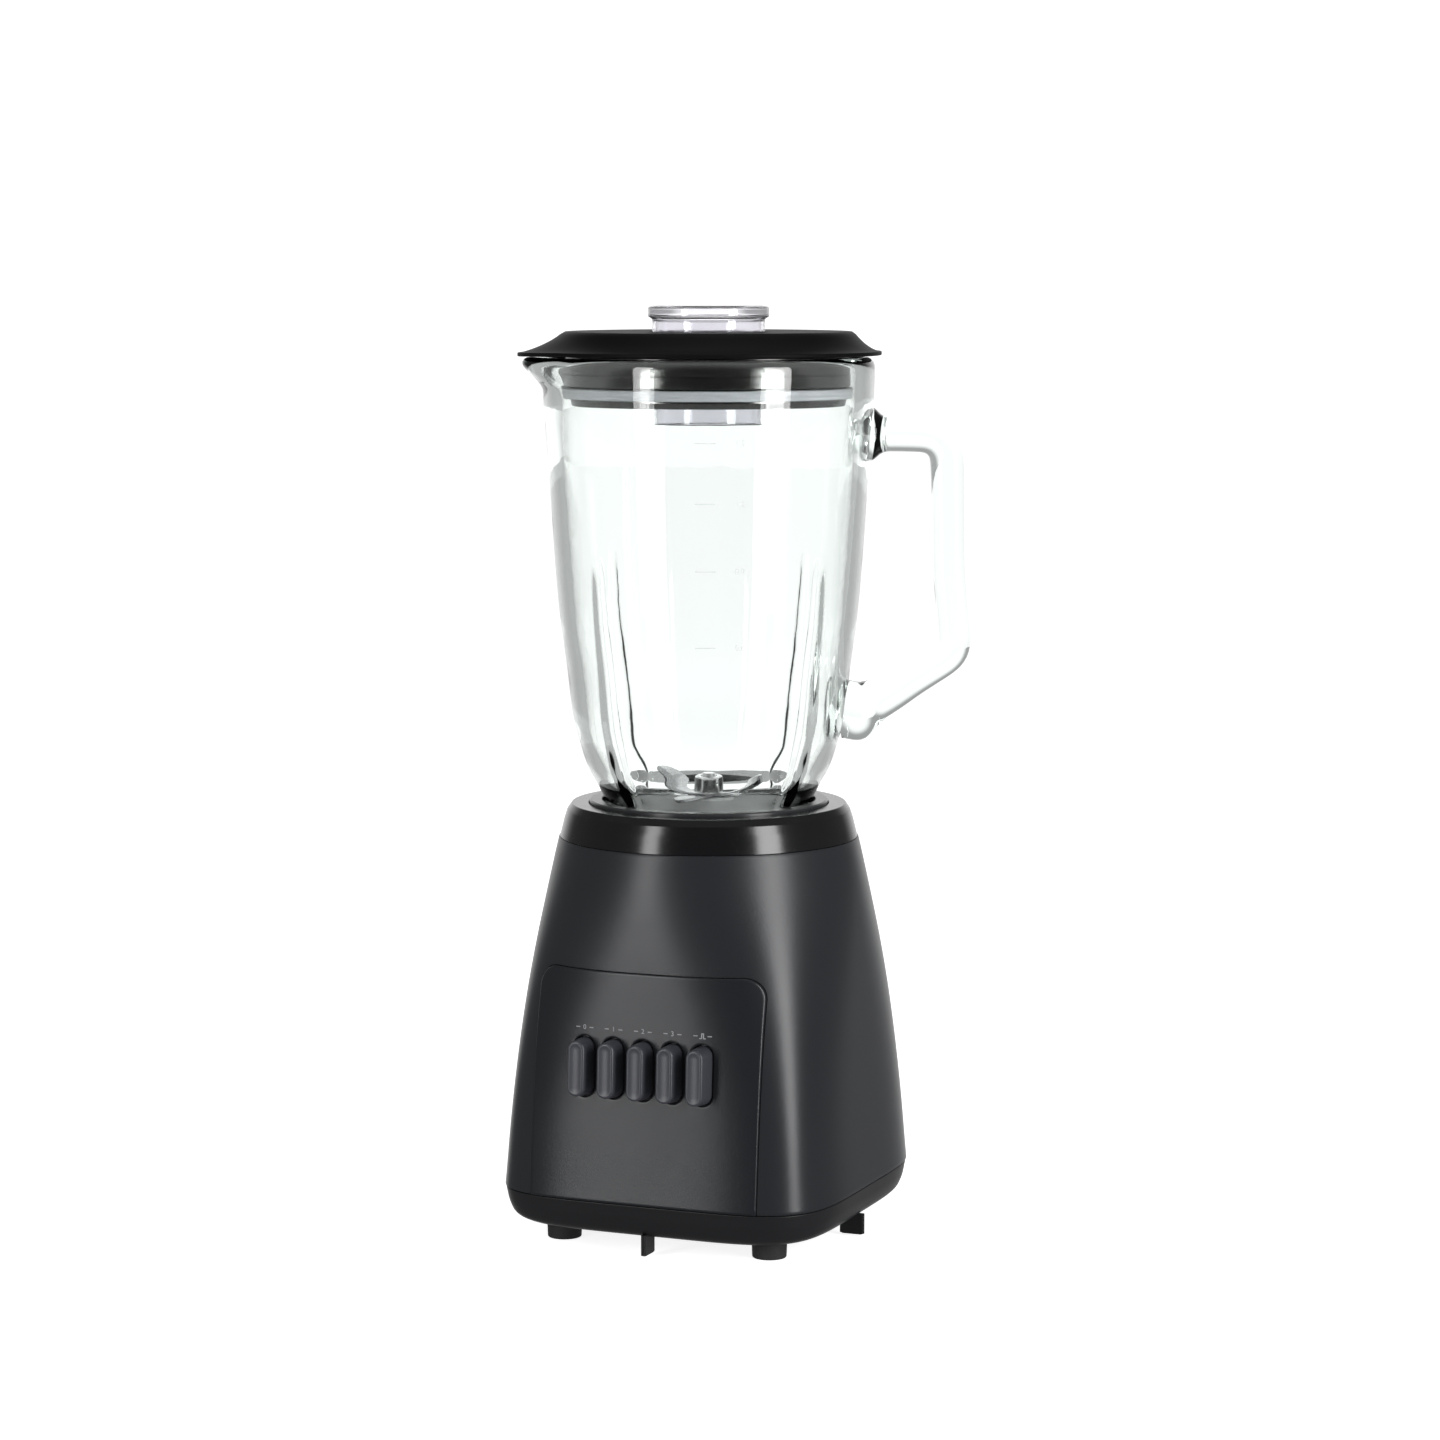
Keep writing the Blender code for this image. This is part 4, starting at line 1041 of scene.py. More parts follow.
class OBJECT_OT_blender_underside(bpy.types.Operator):
    """Builds the tray with its fins and vents, the four feet, the screws and the cord bush"""

    bl_idname = "object.blender_underside"
    bl_label = "Tray, feet and screws"

    def execute(self, context):
        outside = rounded([
            (0.0300, 0.0080, 0.0), (0.0600, 0.0080, 0.01), (0.0665, 0.0084, 0.012), (0.0712, 0.0112, 0.010),
            (0.0731, 0.0165, 0.02), (0.0742, 0.0229, 0.0004), (0.0718, 0.0229, 0.0004), (0.0706, 0.0165, 0.01),
            (0.0688, 0.0125, 0.004), (0.0650, 0.0105, 0.003), (0.0300, 0.0105, 0.0),
        ], 5, False)
        tray = np.array([squared_ring(half, z) for half, z in outside])
        shape = skin(tray, False)
        mesh = mesh_of("tray", shape)
        fin_corners = [(x, y, 0.0008) for x, y in ((-0.001, -0.0055), (0.001, -0.0055), (0.001, 0.0055),
                                                   (-0.001, 0.0055))]
        loop = np.array(rounded(fin_corners, 3))
        fin = skin(np.array([np.column_stack([loop * share, np.full(len(loop), z)])
                             for z, share in ((0.0010, 0.8), (0.0014, 1.0), (0.0100, 1.0))]), False)
        quarter = Matrix.Rotation(math.pi / 2, 4, "Z")
        fins = []
        for i in range(4):
            turn = Matrix.Translation((AXIS[0], AXIS[1], 0)) @ Matrix.Rotation(i * math.pi / 2, 4, "Z")
            fins.append(moved(fin, turn @ Matrix.Translation((0.0662, 0, 0)) @ quarter))
        bosses = []
        for x, y in ((1, 1), (-1, 1), (-1, -1), (1, -1)):
            place = (AXIS[0] + x * 0.031, AXIS[1] + y * 0.018)
            profile = rounded([(0.0055, 0.009, 0.0), (0.0055, 0.0396, 0.0005), (0.0008, 0.0396, 0.0)], 3, False)
            bosses.append(skin(turned(profile, 32, centre=place), False))
        mesh = carved(mesh, mesh_of("adds", *fins, *bosses), "UNION")
        slot_loop = capsule(0.003, 0.040, 24)
        slot = skin(np.array([np.column_stack([slot_loop, np.full(len(slot_loop), z)]) for z in (0.0, 0.015)]), False)
        cuts = [moved(slot, Matrix.Translation((AXIS[0] + (i - 3) * 0.0075, AXIS[1], 0))) for i in range(7)]
        for x, y in foot_places():
            cuts.append(skin(turned([(0.0019, 0.0), (0.0019, 0.016)], 32, centre=(x, y)), False))
        mesh = carved(mesh, mesh_of("cuts", *cuts))
        settle("tray", mesh, "base", "lid", "tray", "bottom_cover", sharp=38)
        reach = FOOT_REACH * math.sqrt(2)
        corners = [
            (0.0075, 0.0077, 0.0003), (0.0072, 0.0, 0.0010), (0.0060, 0.0, 0.0003), (0.0052, 0.0008, 0.0003),
            (0.0038, 0.0008, 0.0004), (0.0038, 0.0077, 0.0003),
        ]
        foot = skin(turned(rounded(corners, 3), 48, centre=(0.0, 0.0)))
        feet = mesh_of("feet", ring_of(foot, 4, reach, 0.0, "rubber", math.pi / 4))
        settle("feet", feet, "base", "rubber", "rubber", "foot_1", "foot_2", "foot_3", "foot_4")
        screws = mesh_of("screws", ring_of(case_screw(), 4, reach, 0.0, "steel", math.pi / 4))
        settle("case_screws", screws, "base", "steel", "steel", *[f"case_screw_{i}" for i in range(1, 5)])
        rear = float(-front_at(0.0, INLET_Z))
        ring = rounded([
            (0.0026, -0.006, 0.0004), (0.0026, 0.0028, 0.0008), (0.0072, 0.0028, 0.0007), (0.0076, 0.0009, 0.0002),
            (0.0050, 0.0009, 0.0002), (0.0050, -0.006, 0.0004),
        ], 4)
        turn = Matrix.Translation((AXIS[0], AXIS[1] + rear, INLET_Z)) @ Matrix.Rotation(-math.pi / 2, 4, "X")
        bush = moved(skin(turned(ring, 64, centre=(0.0, 0.0))), turn)
        settle("cord_bush", mesh_of("bush", bush), "base", "rubber", "rubber", "cord_inlet_bush")
        return {"FINISHED"}


def case_screw():
    """A cross-head screw, head down."""
    outline = rounded([
        (0.0004, 0.0048, 0.0), (0.0030, 0.0048, 0.0004), (0.0034, 0.0077, 0.0003), (0.0015, 0.0077, 0.0),
        (0.0015, 0.0425, 0.0), (0.0003, 0.0440, 0.0),
    ], 3, False)
    body = mesh_of("screw", skin(turned(outline, 32, centre=(0.0, 0.0)), False))
    bars = [block((-0.0018, -0.0003, 0.003), (0.0018, 0.0003, 0.0060)),
            block((-0.0003, -0.0018, 0.003), (0.0003, 0.0018, 0.00601))]
    for bar in bars:
        body = carved(body, mesh_of("bar", bar))
    return shape_of(body)


class OBJECT_OT_blender_motor(bpy.types.Operator):
    """Gives every motor part inside the housing its own finish"""

    bl_idname = "object.blender_motor"
    bl_label = "Motor finishes"

    def execute(self, context):
        kept = {
            "steel": ["rotor_shaft", "motor_bolt_left", "motor_bolt_right"],
            "nylon": ["cooling_fan", "brush_holder_left", "brush_holder_right", "switch_block"],
            "laminate": ["stator_core", "armature_core"],
            "copper": ["field_coil_left", "field_coil_right", "armature_winding_lower", "armature_winding_upper",
                       "commutator"],
            "bronze": ["bearing_bottom", "bearing_top"],
            "carbon": ["carbon_brush_left", "carbon_brush_right"],
            "board": ["circuit_board"],
            "rubber": ["motor_mount_1", "motor_mount_2", "motor_mount_3", "motor_mount_4"],
            "cast": ["motor_bottom_bracket", "motor_top_bracket"],
        }
        for finish, names in kept.items():
            for name in names:
                for slot in frame["nodes"][name].material_slots:
                    slot.material = FINISH[finish]
        return {"FINISHED"}


# ---------------------------------------------------------------- the jar

def apart(angle, centre):
    """How far an angle is from a centre, signed."""
    return (angle - centre + math.pi) % FULL_TURN - math.pi


def flute_cut(angle, height):
    """How deep the four grooves go at this place."""
    sizes = bpy.context.scene.blender_sizes
    near = (angle - HANDLE_TURN - FLUTE_TURN + math.pi / 4) % (math.pi / 2) - math.pi / 4
    down = np.clip((sizes.flute_top - height) / (sizes.flute_top - 0.1936), 0, 1)
    half = np.radians(2.6 + 3.6 * down)
    share = np.clip(np.abs(near) / half, 0, 1)
    across = (1 - share**2) ** 1.5
    along = ease(0.0, 0.16, down) * ease(0.180, 0.190, height)
    return sizes.flute_depth * across * along * (0.55 + 0.45 * down)


def spout_push(angle, height, width=15.0):
    near = apart(angle, SPOUT_TURN) / math.radians(width)
    return bpy.context.scene.blender_sizes.spout_reach * np.exp(-(near**2)) * ease(0.3585, 0.3720, height)


JAR_OUTSIDE = [
    (0.1790, 0.0383), (0.1836, 0.0430), (0.1926, 0.0481), (0.1991, 0.0517), (0.2080, 0.0547), (0.2210, 0.0580),
    (0.2420, 0.0605), (0.2643, 0.0635), (0.2924, 0.0658), (0.3272, 0.0680), (0.3550, 0.0700), (0.3690, 0.0703),
]
JAR_INSIDE = [
    (0.1845, 0.0352), (0.1940, 0.0425), (0.2130, 0.0500), (0.2350, 0.0530), (0.2643, 0.0568), (0.2924, 0.0590),
    (0.3300, 0.0612), (0.3690, 0.0625),
]


def jar_outline():
    """The jar's section, from the foot up the outside, over the rim and down the inside."""
    up = np.concatenate([np.linspace(0.1790, 0.2100, 26), np.linspace(0.2100, 0.3690, 84)[1:]])
    outside = list(zip(flow(JAR_OUTSIDE, up), up))
    down = np.concatenate([np.linspace(0.3690, 0.2130, 36), np.linspace(0.2130, 0.1845, 16)[1:]])
    within = list(zip(flow(JAR_INSIDE, down), down))
    foot = rounded([(0.0330, 0.1640, 0.0006), (0.0380, 0.1640, 0.0006), (0.0380, 0.1783, 0.0)], 3)
    rim = []
    for i in range(1, 12):
        angle = math.pi * i / 12
        middle, half = (0.0703 + 0.0625) / 2, (0.0703 - 0.0625) / 2
        rim.append((middle + half * math.cos(angle), 0.3690 + 0.0040 * math.sin(angle)))
    return foot + outside + rim + within, len(foot) + len(outside) + 6


def handle_rings(steps=44):
    """Sections of the handle along its path, with flared ends that run into the jar's wall."""
    def arc(centre, radius, first, last, half):
        return [
            (centre[0] + radius * math.cos(math.radians(a)), centre[1] + radius * math.sin(math.radians(a)), half)
            for a in np.linspace(first, last, 9)
        ]

    stations = [(0.0655, 0.3406, 0.0076), (0.0720, 0.3404, 0.0073), (0.0850, 0.3402, 0.0073)]
    stations += arc((0.0905, 0.3295), 0.0105, 82, 4, 0.0073)
    stations += [(0.1016, 0.3080, 0.0070), (0.1020, 0.2860, 0.0070), (0.1036, 0.2650, 0.0069)]
    stations += arc((0.0965, 0.2520), 0.0082, -4, -56, 0.0070)
    stations += [(0.0880, 0.2374, 0.0076), (0.0730, 0.2283, 0.0087), (0.0610, 0.2229, 0.0098), (0.0545, 0.2215, 0.0100)]
    knots = np.array(stations)
    run = np.concatenate([[0], np.cumsum(np.linalg.norm(np.diff(knots[:, :2], axis=0), axis=1))])
    places = np.linspace(0, run[-1], 130)
    reach, height, half = [flow(np.column_stack([run, knots[:, k]]), places) for k in range(3)]
    for _ in range(6):
        for line in (reach, height):
            line[1:-1] = (line[:-2] + 2 * line[1:-1] + line[2:]) / 4
    slope = np.stack([np.gradient(reach), np.gradient(height)], -1)
    slope /= np.linalg.norm(slope, axis=1)[:, None]
    flare = 0.0040 * np.exp(-((places - 0.0035) / 0.0035) ** 2) + 0.0036 * np.exp(
        -((places - run[-1] + 0.0075) / 0.0060) ** 2)
    angle = np.arange(steps) * FULL_TURN / steps
    power = 2.6
    spread = 1 / (np.abs(np.cos(angle)) ** power + np.abs(np.sin(angle)) ** power) ** (1 / power)
    rings = []
    for i in range(len(places)):
        across = (half[i] + flare[i]) * spread * np.cos(angle)
        aside = (0.0100 + flare[i] * 0.8) * spread * np.sin(angle)
        out = reach[i] - slope[i, 1] * across
        up = height[i] + slope[i, 0] * across
        x = out * math.cos(HANDLE_TURN) - aside * math.sin(HANDLE_TURN)
        y = out * math.sin(HANDLE_TURN) + aside * math.cos(HANDLE_TURN)
        rings.append(np.stack([AXIS[0] + x, AXIS[1] + y, up], -1))
    return np.array(rings)


def on_jar(shape, turn):
    """Wraps a flat print round the jar's outside."""
    points, faces = shape
    radius = flow(JAR_OUTSIDE, points[:, 1])
    angle = turn + points[:, 0] / radius
    radius = radius + points[:, 2] + 0.00004
    x, y = AXIS[0] + radius * np.cos(angle), AXIS[1] + radius * np.sin(angle)
    return np.stack([x, y, points[:, 1]], -1), faces


class OBJECT_OT_blender_jar(bpy.types.Operator):
    """Builds the fluted glass jar with its spout and handle, and the scale printed on it"""

    bl_idname = "object.blender_jar"
    bl_label = "Glass jar"

    def execute(self, context):
        outline, outside_rows = jar_outline()
        outer = (np.arange(len(outline)) < outside_rows)[:, None]

        def bend(radius, height, angle):
            radius = radius + spout_push(angle, height)
            return radius - np.where(outer, flute_cut(angle, height), 0.0), height

        bowl = mesh_of("bowl", skin(turned(outline, 336, bend)))
        jar = carved(bowl, mesh_of("handle", skin(handle_rings(), False)), "UNION")
        settle("jar_glass", jar, "jar", "glass", "glass", "glass_jar", sharp=44)
        facing = CAMERA_TURN - math.pi / 2
        size = context.scene.blender_sizes.digit_height
        marks = []
        for text, z in (("1.5", 0.3394), ("1.2", 0.3145), ("0.9", 0.2869), ("0.6", 0.2552)):
            marks.append(flat_bar((-0.0055, z - 0.0002), (0.0030, z + 0.0002)))
            marks.append(printed(text, size, 0.0130, z))
        laid = [on_jar(shape, facing) for shape in marks]
        settle("jar_scale", mesh_of("scale", *laid), "jar", "glass", "scale")
        return {"FINISHED"}


class OBJECT_OT_blender_jar_foot(bpy.types.Operator):
    """Builds the collar with its grip ribs, the blade holder, the bush and seals and the driven coupler"""

    bl_idname = "object.blender_jar_foot"
    bl_label = "Jar foot"

    def execute(self, context):
        sizes = context.scene.blender_sizes
        collar = rounded([
            (0.0384, 0.1780, 0.0004), (0.0384, 0.1593, 0.0003), (0.0240, 0.1593, 0.0003), (0.0240, 0.1560, 0.0003),
            (0.0412, 0.1560, 0.0006), (0.0412, 0.1503, 0.0004), (0.0436, 0.1503, 0.0006), (0.0436, 0.1780, 0.0010),
        ], 3)
        rib_loop = capsule(0.0008, 0.0022, 12)[:, ::-1]
        rib = skin(np.array([np.column_stack([rib_loop[:, 1] * share, rib_loop[:, 0] * share, np.full(12, z)])
                             for z, share in ((0.1525, 0.5), (0.1535, 1.0), (0.1755, 1.0), (0.1765, 0.5))]), False)
        ribs = ring_of(rib, sizes.grip_ribs, 0.0436, 0.0, "seat")
        body = mesh_of("collar", skin(turned(collar, 192)), ribs)
        settle("jar_foot_collar", body, "jar", "gloss_black", "seat", "jar_collar")
        holder = rounded([
            (0.0070, 0.1640, 0.0004), (0.0070, 0.1838, 0.0005), (0.0095, 0.1838, 0.0008), (0.0112, 0.1815, 0.0016),
            (0.0326, 0.1802, 0.0012), (0.0326, 0.1616, 0.0004), (0.0374, 0.1616, 0.0003), (0.0374, 0.1597, 0.0003),
            (0.0300, 0.1597, 0.0006), (0.0300, 0.1778, 0.0006), (0.0118, 0.1782, 0.0010), (0.0112, 0.1640, 0.0004),
        ], 4)
        # The steel cup wears the near-white plate finish: painted reflection.
        settle("blade_holder_cup", mesh_of("holder", skin(turned(holder, 160))), "jar", "steel", "plate",
               "blade_holder")
        rings = {
            "foot_seal_ring": ("jar_gasket", "seal", "seal", [(0.0334, 0.1619, 0.0006), (0.0376, 0.1619, 0.0006),
                                                              (0.0376, 0.1637, 0.0006), (0.0334, 0.1637, 0.0006)]),
            "bearing_bush": ("shaft_bush", "bronze", "bronze", [(0.0036, 0.1645, 0.0004), (0.0067, 0.1645, 0.0004),
                                                                (0.0067, 0.1825, 0.0004), (0.0036, 0.1825, 0.0004)]),
        }
        for name, (node, slot, finish, corners) in rings.items():
            settle(name, mesh_of(name, skin(turned(rounded(corners), 96))), "jar", slot, finish, node)
        low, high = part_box("shaft_seal")
        outer = (high[0] - low[0]) / 2
        lip = rounded([(0.0036, low[2], 0.0003), (outer, low[2], 0.0004), (outer, high[2], 0.0006),
                       (0.0036, high[2], 0.0003)])
        settle("shaft_seal_lip", mesh_of("lip", skin(turned(lip, 64))), "jar", "seal", "seal", "shaft_seal")
        hub = rounded([(0.0036, 0.1563, 0.0003), (0.0130, 0.1563, 0.0006), (0.0130, 0.1585, 0.0006),
                       (0.0100, 0.1625, 0.0008), (0.0036, 0.1625, 0.0003)])
        lugs = ring_of(driving_lug(0.1526, 0.1575), 3, 0.0096, 0.0, "nylon", math.pi / 3)
        driven = carved(mesh_of("driven", skin(turned(hub, 96))), mesh_of("lugs", lugs), "UNION")
        settle("driven_coupler_star", driven, "blades", "nylon", "nylon", "driven_coupler")
        return {"FINISHED"}


def blade(lift, reach, width, height, turn):
    """A two-armed blade with ground edges, bent smoothly up or down along its arms."""
    rings = []
    for x in np.linspace(-reach, reach, 61):
        share = abs(x) / reach
        bend = lift * float(ease(0.25, 1.05, share)) * 1.08
        half = width / 2 * (0.94 + 0.06 * math.cos(share * math.pi)) * math.sqrt(max(1 - share**7, 0.05))
        thick = 0.0008 * (1.0 if share < 0.9 else 0.9)
        ground = min(0.0024, half * 0.7) * float(ease(0.22, 0.42, share)) + 0.0004
        z = height + bend
        rings.append([
            (x, -half, z - thick * 0.25), (x, -half + ground, z + thick), (x, half - 0.0004, z + thick),
            (x, half, z), (x, half - 0.0004, z - thick), (x, -half + 0.0004, z - thick),
        ])
    spin = Matrix.Translation((AXIS[0], AXIS[1], 0)) @ Matrix.Rotation(HANDLE_TURN + math.radians(turn), 4, "Z")
    return moved(skin(np.array(rings), False), spin)


class OBJECT_OT_blender_blades(bpy.types.Operator):
    """Builds the spinning shaft, both bent blades and the nut that holds them"""

    bl_idname = "object.blender_blades"
    bl_label = "Blades"

    def execute(self, context):
        shaft = rounded([(0.0004, 0.1600, 0.0), (0.0033, 0.1600, 0.0004), (0.0033, 0.1937, 0.0006),
                         (0.0026, 0.1950, 0.0004), (0.0004, 0.1950, 0.0)], 3, False)
        settle("blade_shaft_pin", mesh_of("pin", skin(turned(shaft, 64), False)), "blades", "steel", "steel",
               "blade_shaft")
        lower = mesh_of("lower", blade(-0.0012, 0.0265, 0.0125, 0.1866, 62))
        settle("blade_low", lower, "blades", "steel", "blade", "blade_lower", sharp=18)
        upper = mesh_of("upper", blade(0.0062, 0.0250, 0.0125, 0.1889, -28))
        settle("blade_high", upper, "blades", "steel", "blade", "blade_upper", sharp=18)
        steps = 96
        angle = np.arange(steps) * FULL_TURN / steps
        hexagon = 0.0062 * math.cos(math.pi / 6) / np.cos((angle + math.pi / 6) % (math.pi / 3) - math.pi / 6)
        levels = [(0.0035, 0.1902, 0), (0.0060, 0.1902, 0.7), (0.0062, 0.1905, 1), (0.0062, 0.1928, 1),
                  (0.0058, 0.1937, 0.55), (0.0050, 0.1940, 0), (0.0035, 0.1940, 0)]
        rings = []
        for radius, z, share in levels:
            reach = radius * (1 - share) + np.minimum(hexagon, radius) * share
            rings.append(np.stack([AXIS[0] + reach * np.cos(angle), AXIS[1] + reach * np.sin(angle), z + 0 * angle], -1))
        settle("blade_nut_hex", mesh_of("nut", skin(np.array(rings))), "blades", "steel", "steel", "blade_nut",
               sharp=24)
        return {"FINISHED"}


# ---------------------------------------------------------------- lid and cap

class OBJECT_OT_blender_lid(bpy.types.Operator):
    """Builds the lid with its flared brim, the polished band under it and the ribbed gasket"""

    bl_idname = "object.blender_lid"
    bl_label = "Lid"

    def execute(self, context):
        share = np.linspace(0, 1, 14)
        flare = [(0.0612 + 0.0119 * s, 0.3837 - 0.0083 * (1 - (1 - s) ** 1.8), 0.0) for s in share]
        corners = [(0.0248, 0.3820, 0.0), (0.0251, 0.3834, 0.0004), (0.0262, 0.3837, 0.0008), (0.0450, 0.3837, 0.0)]
        corners += [(0.0598, 0.3837, 0.0), (0.0606, 0.38368, 0.0)] + flare[1:-1]
        corners += [(0.0731, 0.3755, 0.0006), (0.0731, 0.3738, 0.0005), (0.0640, 0.3738, 0.0006),
                    (0.0607, 0.3770, 0.003), (0.0560, 0.3806, 0.003), (0.0270, 0.3808, 0.001),
                    (0.0262, 0.3700, 0.0006), (0.0246, 0.3700, 0.0004)]
        outline = rounded(corners, 4)
        radii = np.array([point[0] for point in outline])
        reach = ease(0.0600, 0.0725, radii)[:, None]

        def bend(radius, height, angle):
            near = np.exp(-((apart(angle, SPOUT_TURN) / math.radians(19)) ** 2)) * reach
            return radius + 0.0077 * near, height - 0.0006 * near

        settle("lid_cover", mesh_of("cover", skin(turned(outline, 256, bend))), "lid", "lid", "lid", "lid", sharp=40)
        sleeve = rounded([
            (0.0566, 0.3797, 0.0004), (0.0597, 0.3766, 0.0010), (0.0604, 0.3732, 0.003), (0.0602, 0.3666, 0.0002),
            (0.0598, 0.3664, 0.0001), (0.0598, 0.3660, 0.0001), (0.0602, 0.3658, 0.0002), (0.0600, 0.3611, 0.0004),
            (0.0582, 0.3608, 0.0003), (0.0583, 0.3553, 0.0004), (0.0577, 0.3530, 0.0006), (0.0560, 0.3530, 0.0006),
            (0.0570, 0.3720, 0.003), (0.0550, 0.3792, 0.0006),
        ], 4)
        settle("lid_band", mesh_of("band", skin(turned(sleeve, 224))), "lid", "band", "band", "lid_sleeve")
        gasket = rounded([
            (0.0587, 0.3560, 0.0003), (0.0589, 0.3604, 0.0003), (0.0614, 0.3602, 0.0005), (0.0609, 0.3592, 0.0003),
            (0.0614, 0.3583, 0.0005), (0.0609, 0.3573, 0.0003), (0.0614, 0.3562, 0.0005),
        ], 3)
        settle("lid_gasket_ring", mesh_of("gasket", skin(turned(gasket, 224))), "lid", "seal", "gasket", "lid_gasket")
        return {"FINISHED"}


class OBJECT_OT_blender_cap(bpy.types.Operator):
    """Builds the clear filler cap, an upturned measuring cup with small ticks on its wall"""

    bl_idname = "object.blender_cap"
    bl_label = "Filler cap"

    def execute(self, context):
        outline = rounded([
            (0.0004, 0.3914, 0.0), (0.0200, 0.3908, 0.002), (0.0221, 0.3885, 0.002), (0.0218, 0.3458, 0.0005),
            (0.0233, 0.3458, 0.0005), (0.0240, 0.3890, 0.0006), (0.0257, 0.3900, 0.0008), (0.0257, 0.3938, 0.0010),
            (0.0240, 0.3946, 0.0012), (0.0004, 0.3946, 0.0),
        ], 5, False)
        cap = mesh_of("cap", skin(turned(outline, 192), False))
        settle("filler_cap_cup", cap, "filler_cap", "clear", "clear", "filler_cap", sharp=40)
        tick_low = (-0.0018, -0.00015)
        ticks = []
        for count, (turn, low) in enumerate(((-67.5, 0.352), (112.5, 0.352))):
            for i in range(3):
                z = low + 0.008 * i
                bar = flat_bar((tick_low[0] * (1 + i % 2), z + tick_low[1]), (0.0018 * (1 + i % 2), z + 0.00015))
                points, faces = bar
                angle = math.radians(turn) + points[:, 0] / 0.0236
                radius = 0.0233 + (points[:, 1] - 0.3458) * 0.0162 + points[:, 2] + 0.00006
                there = np.stack([AXIS[0] + radius * np.cos(angle), AXIS[1] + radius * np.sin(angle), points[:, 1]], -1)
                ticks.append((there, faces))
        settle("cap_ticks", mesh_of("ticks", *ticks), "filler_cap", "clear", "scale")
        return {"FINISHED"}


# ---------------------------------------------------------------- stage

def tall_light(name, turn, distance, height, width, tall, power):
    """A soft box that stands round the object and faces its axis."""
    data = bpy.data.lights.new(name, "AREA")
    data.shape = "RECTANGLE"
    data.size = width
    data.size_y = tall
    data.energy = power
    light = bpy.data.objects.new(name, data)
    bpy.context.scene.collection.objects.link(light)
    angle = CAMERA_TURN - math.pi / 2 + math.radians(turn)
    light.location = (AXIS[0] + distance * math.cos(angle), AXIS[1] + distance * math.sin(angle), height)
    aim = Vector((AXIS[0], AXIS[1], 0.2)) - light.location
    light.rotation_euler = aim.to_track_quat("-Z", "Y").to_euler()
    light.visible_camera = False
    return light


def bounces(tree):
    """1 on a path that has not been mirrored or scattered yet, 1 on a scattered one, and 1 on one that met glass."""
    depth = {name: tree.node("ShaderNodeLightPath", out=name + " Depth") for name in ("Glossy", "Diffuse", "Transmission")}
    straight = (depth["Glossy"] < 0.5) * (depth["Diffuse"] < 0.5)
    return straight, depth["Diffuse"] > 0.5, depth["Transmission"] > 0.5


def pale_floor():
    """White floor, which mirrors see as dark in front of the object, as in a studio with a dark camera side."""
    paint = Paint("pale_floor")
    straight, spread, _ = bounces(paint)
    x, y, _ = paint.parts()
    ahead = paint.ease(x * math.sin(CAMERA_TURN) - y * math.cos(CAMERA_TURN), 0.2, 1.2)
    bright = straight + (1.0 - straight) * (spread * 0.6 + (1.0 - spread) * (1.0 - ahead) * 0.55)
    return paint.surface(
        Base_Color=paint.mix(straight, (0.05, 0.05, 0.05, 1), paint.shades((0.86, 0.86, 0.86), paint.noise(3), 0.99, 1)),
        Roughness=0.9,
        Emission_Color=(1, 1, 1, 1),
        Emission_Strength=bright * 0.85,
    )


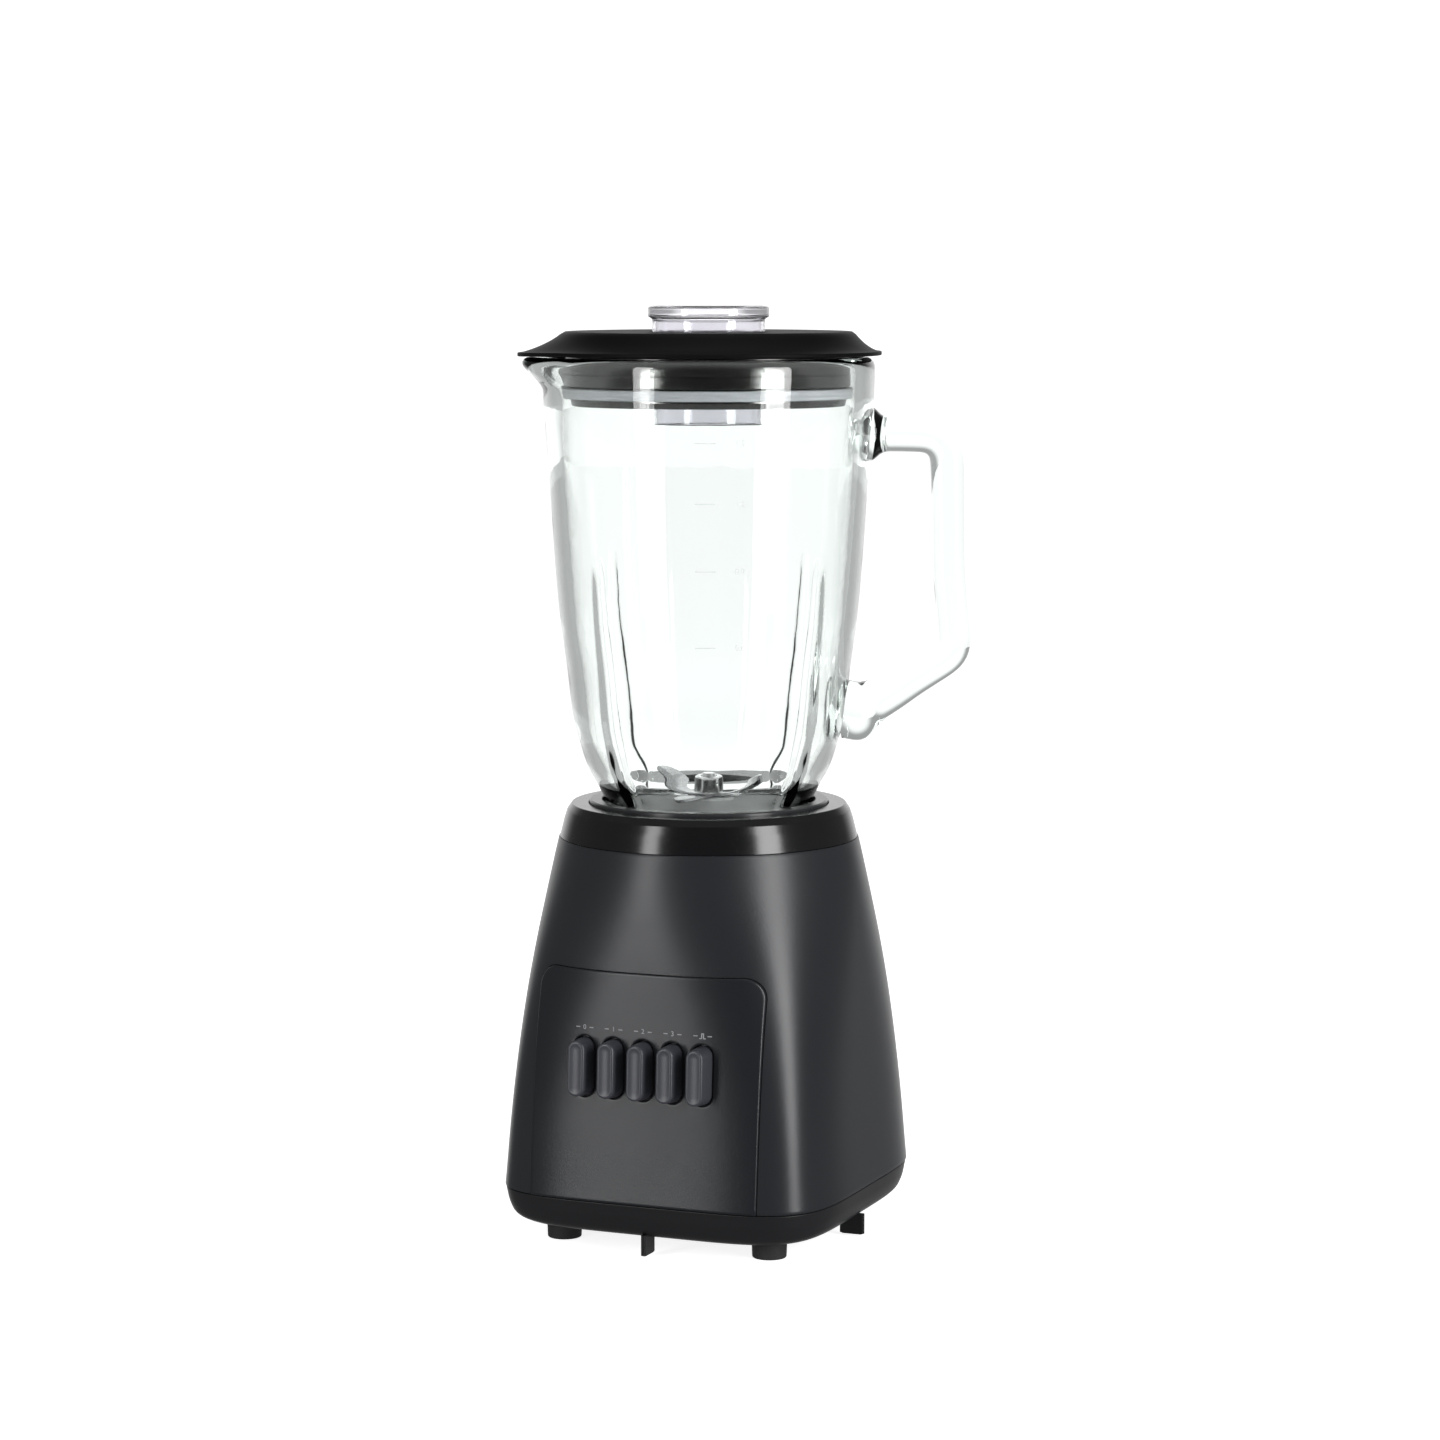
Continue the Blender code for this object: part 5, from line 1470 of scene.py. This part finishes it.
class OBJECT_OT_blender_stage(bpy.types.Operator):
    """Sets the pale floor, the soft lights and the camera"""

    bl_idname = "object.blender_stage"
    bl_label = "Stage"

    def execute(self, context):
        scene = context.scene
        scene.view_settings.view_transform = "Standard"
        floor_mesh = bpy.data.meshes.new("floor")
        half = 12.0
        floor_mesh.from_pydata([(-half, -half, 0), (half, -half, 0), (half, half, 0), (-half, half, 0)], [],
                               [(0, 1, 2, 3)])
        floor = bpy.data.objects.new("floor", floor_mesh)
        scene.collection.objects.link(floor)
        floor_mesh.materials.append(pale_floor())
        floor.visible_glossy = False
        self.light(scene)
        back = Vector((math.sin(CAMERA_TURN), -math.cos(CAMERA_TURN), 0))
        right = Vector((math.cos(CAMERA_TURN), math.sin(CAMERA_TURN), 0))
        lens = bpy.data.cameras.new("camera")
        lens.lens = 100
        lens.sensor_width = 36
        lens.clip_end = 60
        camera = bpy.data.objects.new("camera", lens)
        scene.collection.objects.link(camera)
        camera.location = Vector((AXIS[0], AXIS[1], 0.4127)) + back * 1.696 + right * 0.0048
        camera.rotation_euler = (math.pi / 2 - math.radians(6.53), 0, CAMERA_TURN)
        scene.camera = camera
        return {"FINISHED"}

    def light(self, scene):
        """White all round for the eye, dimmer in reflections, and darkest in front."""
        world = bpy.data.worlds.new("studio")
        scene.world = world
        world.use_nodes = True
        world.cycles.sampling_method = "NONE"
        tree = Tree(world.node_tree)
        world.node_tree.nodes.clear()
        straight, spread, through = bounces(tree)
        way = tree.node("ShaderNodeTexCoord", out="Generated")
        x, y, z = [tree.node("ShaderNodeSeparateXYZ", {}, {0: way}, axis) for axis in "XYZ"]
        ahead = x * math.sin(CAMERA_TURN) - y * math.cos(CAMERA_TURN)
        dark = tree.ease(ahead, 0.30, 0.90)
        mirror = (1.0 - dark) * (0.13 + through * 0.64) + dark * 0.012 + tree.ease(z, 0.5, 0.9, 0.0, 0.1)
        mirror = mirror + tree.ease(0.0 - ahead, 0.70, 0.95, 0.0, 0.95)
        bent = tree.ease(0.0 - ahead, 0.88, 0.985, 0.42, 1.27)
        strength = straight * (through * bent + (1.0 - through) * 1.2) + (1.0 - straight) * (spread * 0.32 + (1.0 - spread) * mirror)
        shade = tree.node("ShaderNodeBackground", {}, {"Color": (1, 1, 1, 1), "Strength": strength})
        output = world.node_tree.nodes.new("ShaderNodeOutputWorld")
        world.node_tree.links.new(shade.link, output.inputs["Surface"])
        tall_light("soft_left", -46, 1.7, 0.50, 0.36, 1.4, 13)
        tall_light("soft_right", 48, 1.7, 0.50, 0.56, 1.4, 26)
        top = tall_light("soft_top", 180, 0.3, 2.2, 1.4, 1.4, 6)
        top.rotation_euler = (0, 0, 0)


class VIEW3D_PT_blender_panel(bpy.types.Panel):
    """Lists the steps that build the blender, with their sizes and colours"""

    bl_idname = "VIEW3D_PT_blender_panel"
    bl_label = "Countertop Blender"
    bl_space_type = "VIEW_3D"
    bl_region_type = "UI"
    bl_category = "Blender"

    def draw(self, context):
        layout = self.layout
        for operator in OPERATORS:
            layout.operator(operator.bl_idname)
        for group in (context.scene.blender_sizes, context.scene.blender_colours):
            box = layout.box()
            for name in group.__annotations__:
                box.prop(group, name)


OPERATORS = [
    OBJECT_OT_blender_housing, OBJECT_OT_blender_panel, OBJECT_OT_blender_keys, OBJECT_OT_blender_deck,
    OBJECT_OT_blender_underside, OBJECT_OT_blender_motor, OBJECT_OT_blender_jar, OBJECT_OT_blender_jar_foot,
    OBJECT_OT_blender_blades, OBJECT_OT_blender_lid, OBJECT_OT_blender_cap, OBJECT_OT_blender_stage,
]
CLASSES = [BlenderSizes, BlenderColours, *OPERATORS, VIEW3D_PT_blender_panel]


def register():
    for kind in CLASSES:
        bpy.utils.register_class(kind)
    bpy.types.Scene.blender_sizes = PointerProperty(type=BlenderSizes)
    bpy.types.Scene.blender_colours = PointerProperty(type=BlenderColours)


def unregister():
    del bpy.types.Scene.blender_colours
    del bpy.types.Scene.blender_sizes
    for kind in reversed(CLASSES):
        bpy.utils.unregister_class(kind)


def main():
    register()
    FINISH.update(finishes())
    for operator in OPERATORS:
        family, step = operator.bl_idname.split(".")
        getattr(getattr(bpy.ops, family), step)()


if __name__ == "__main__":
    main()
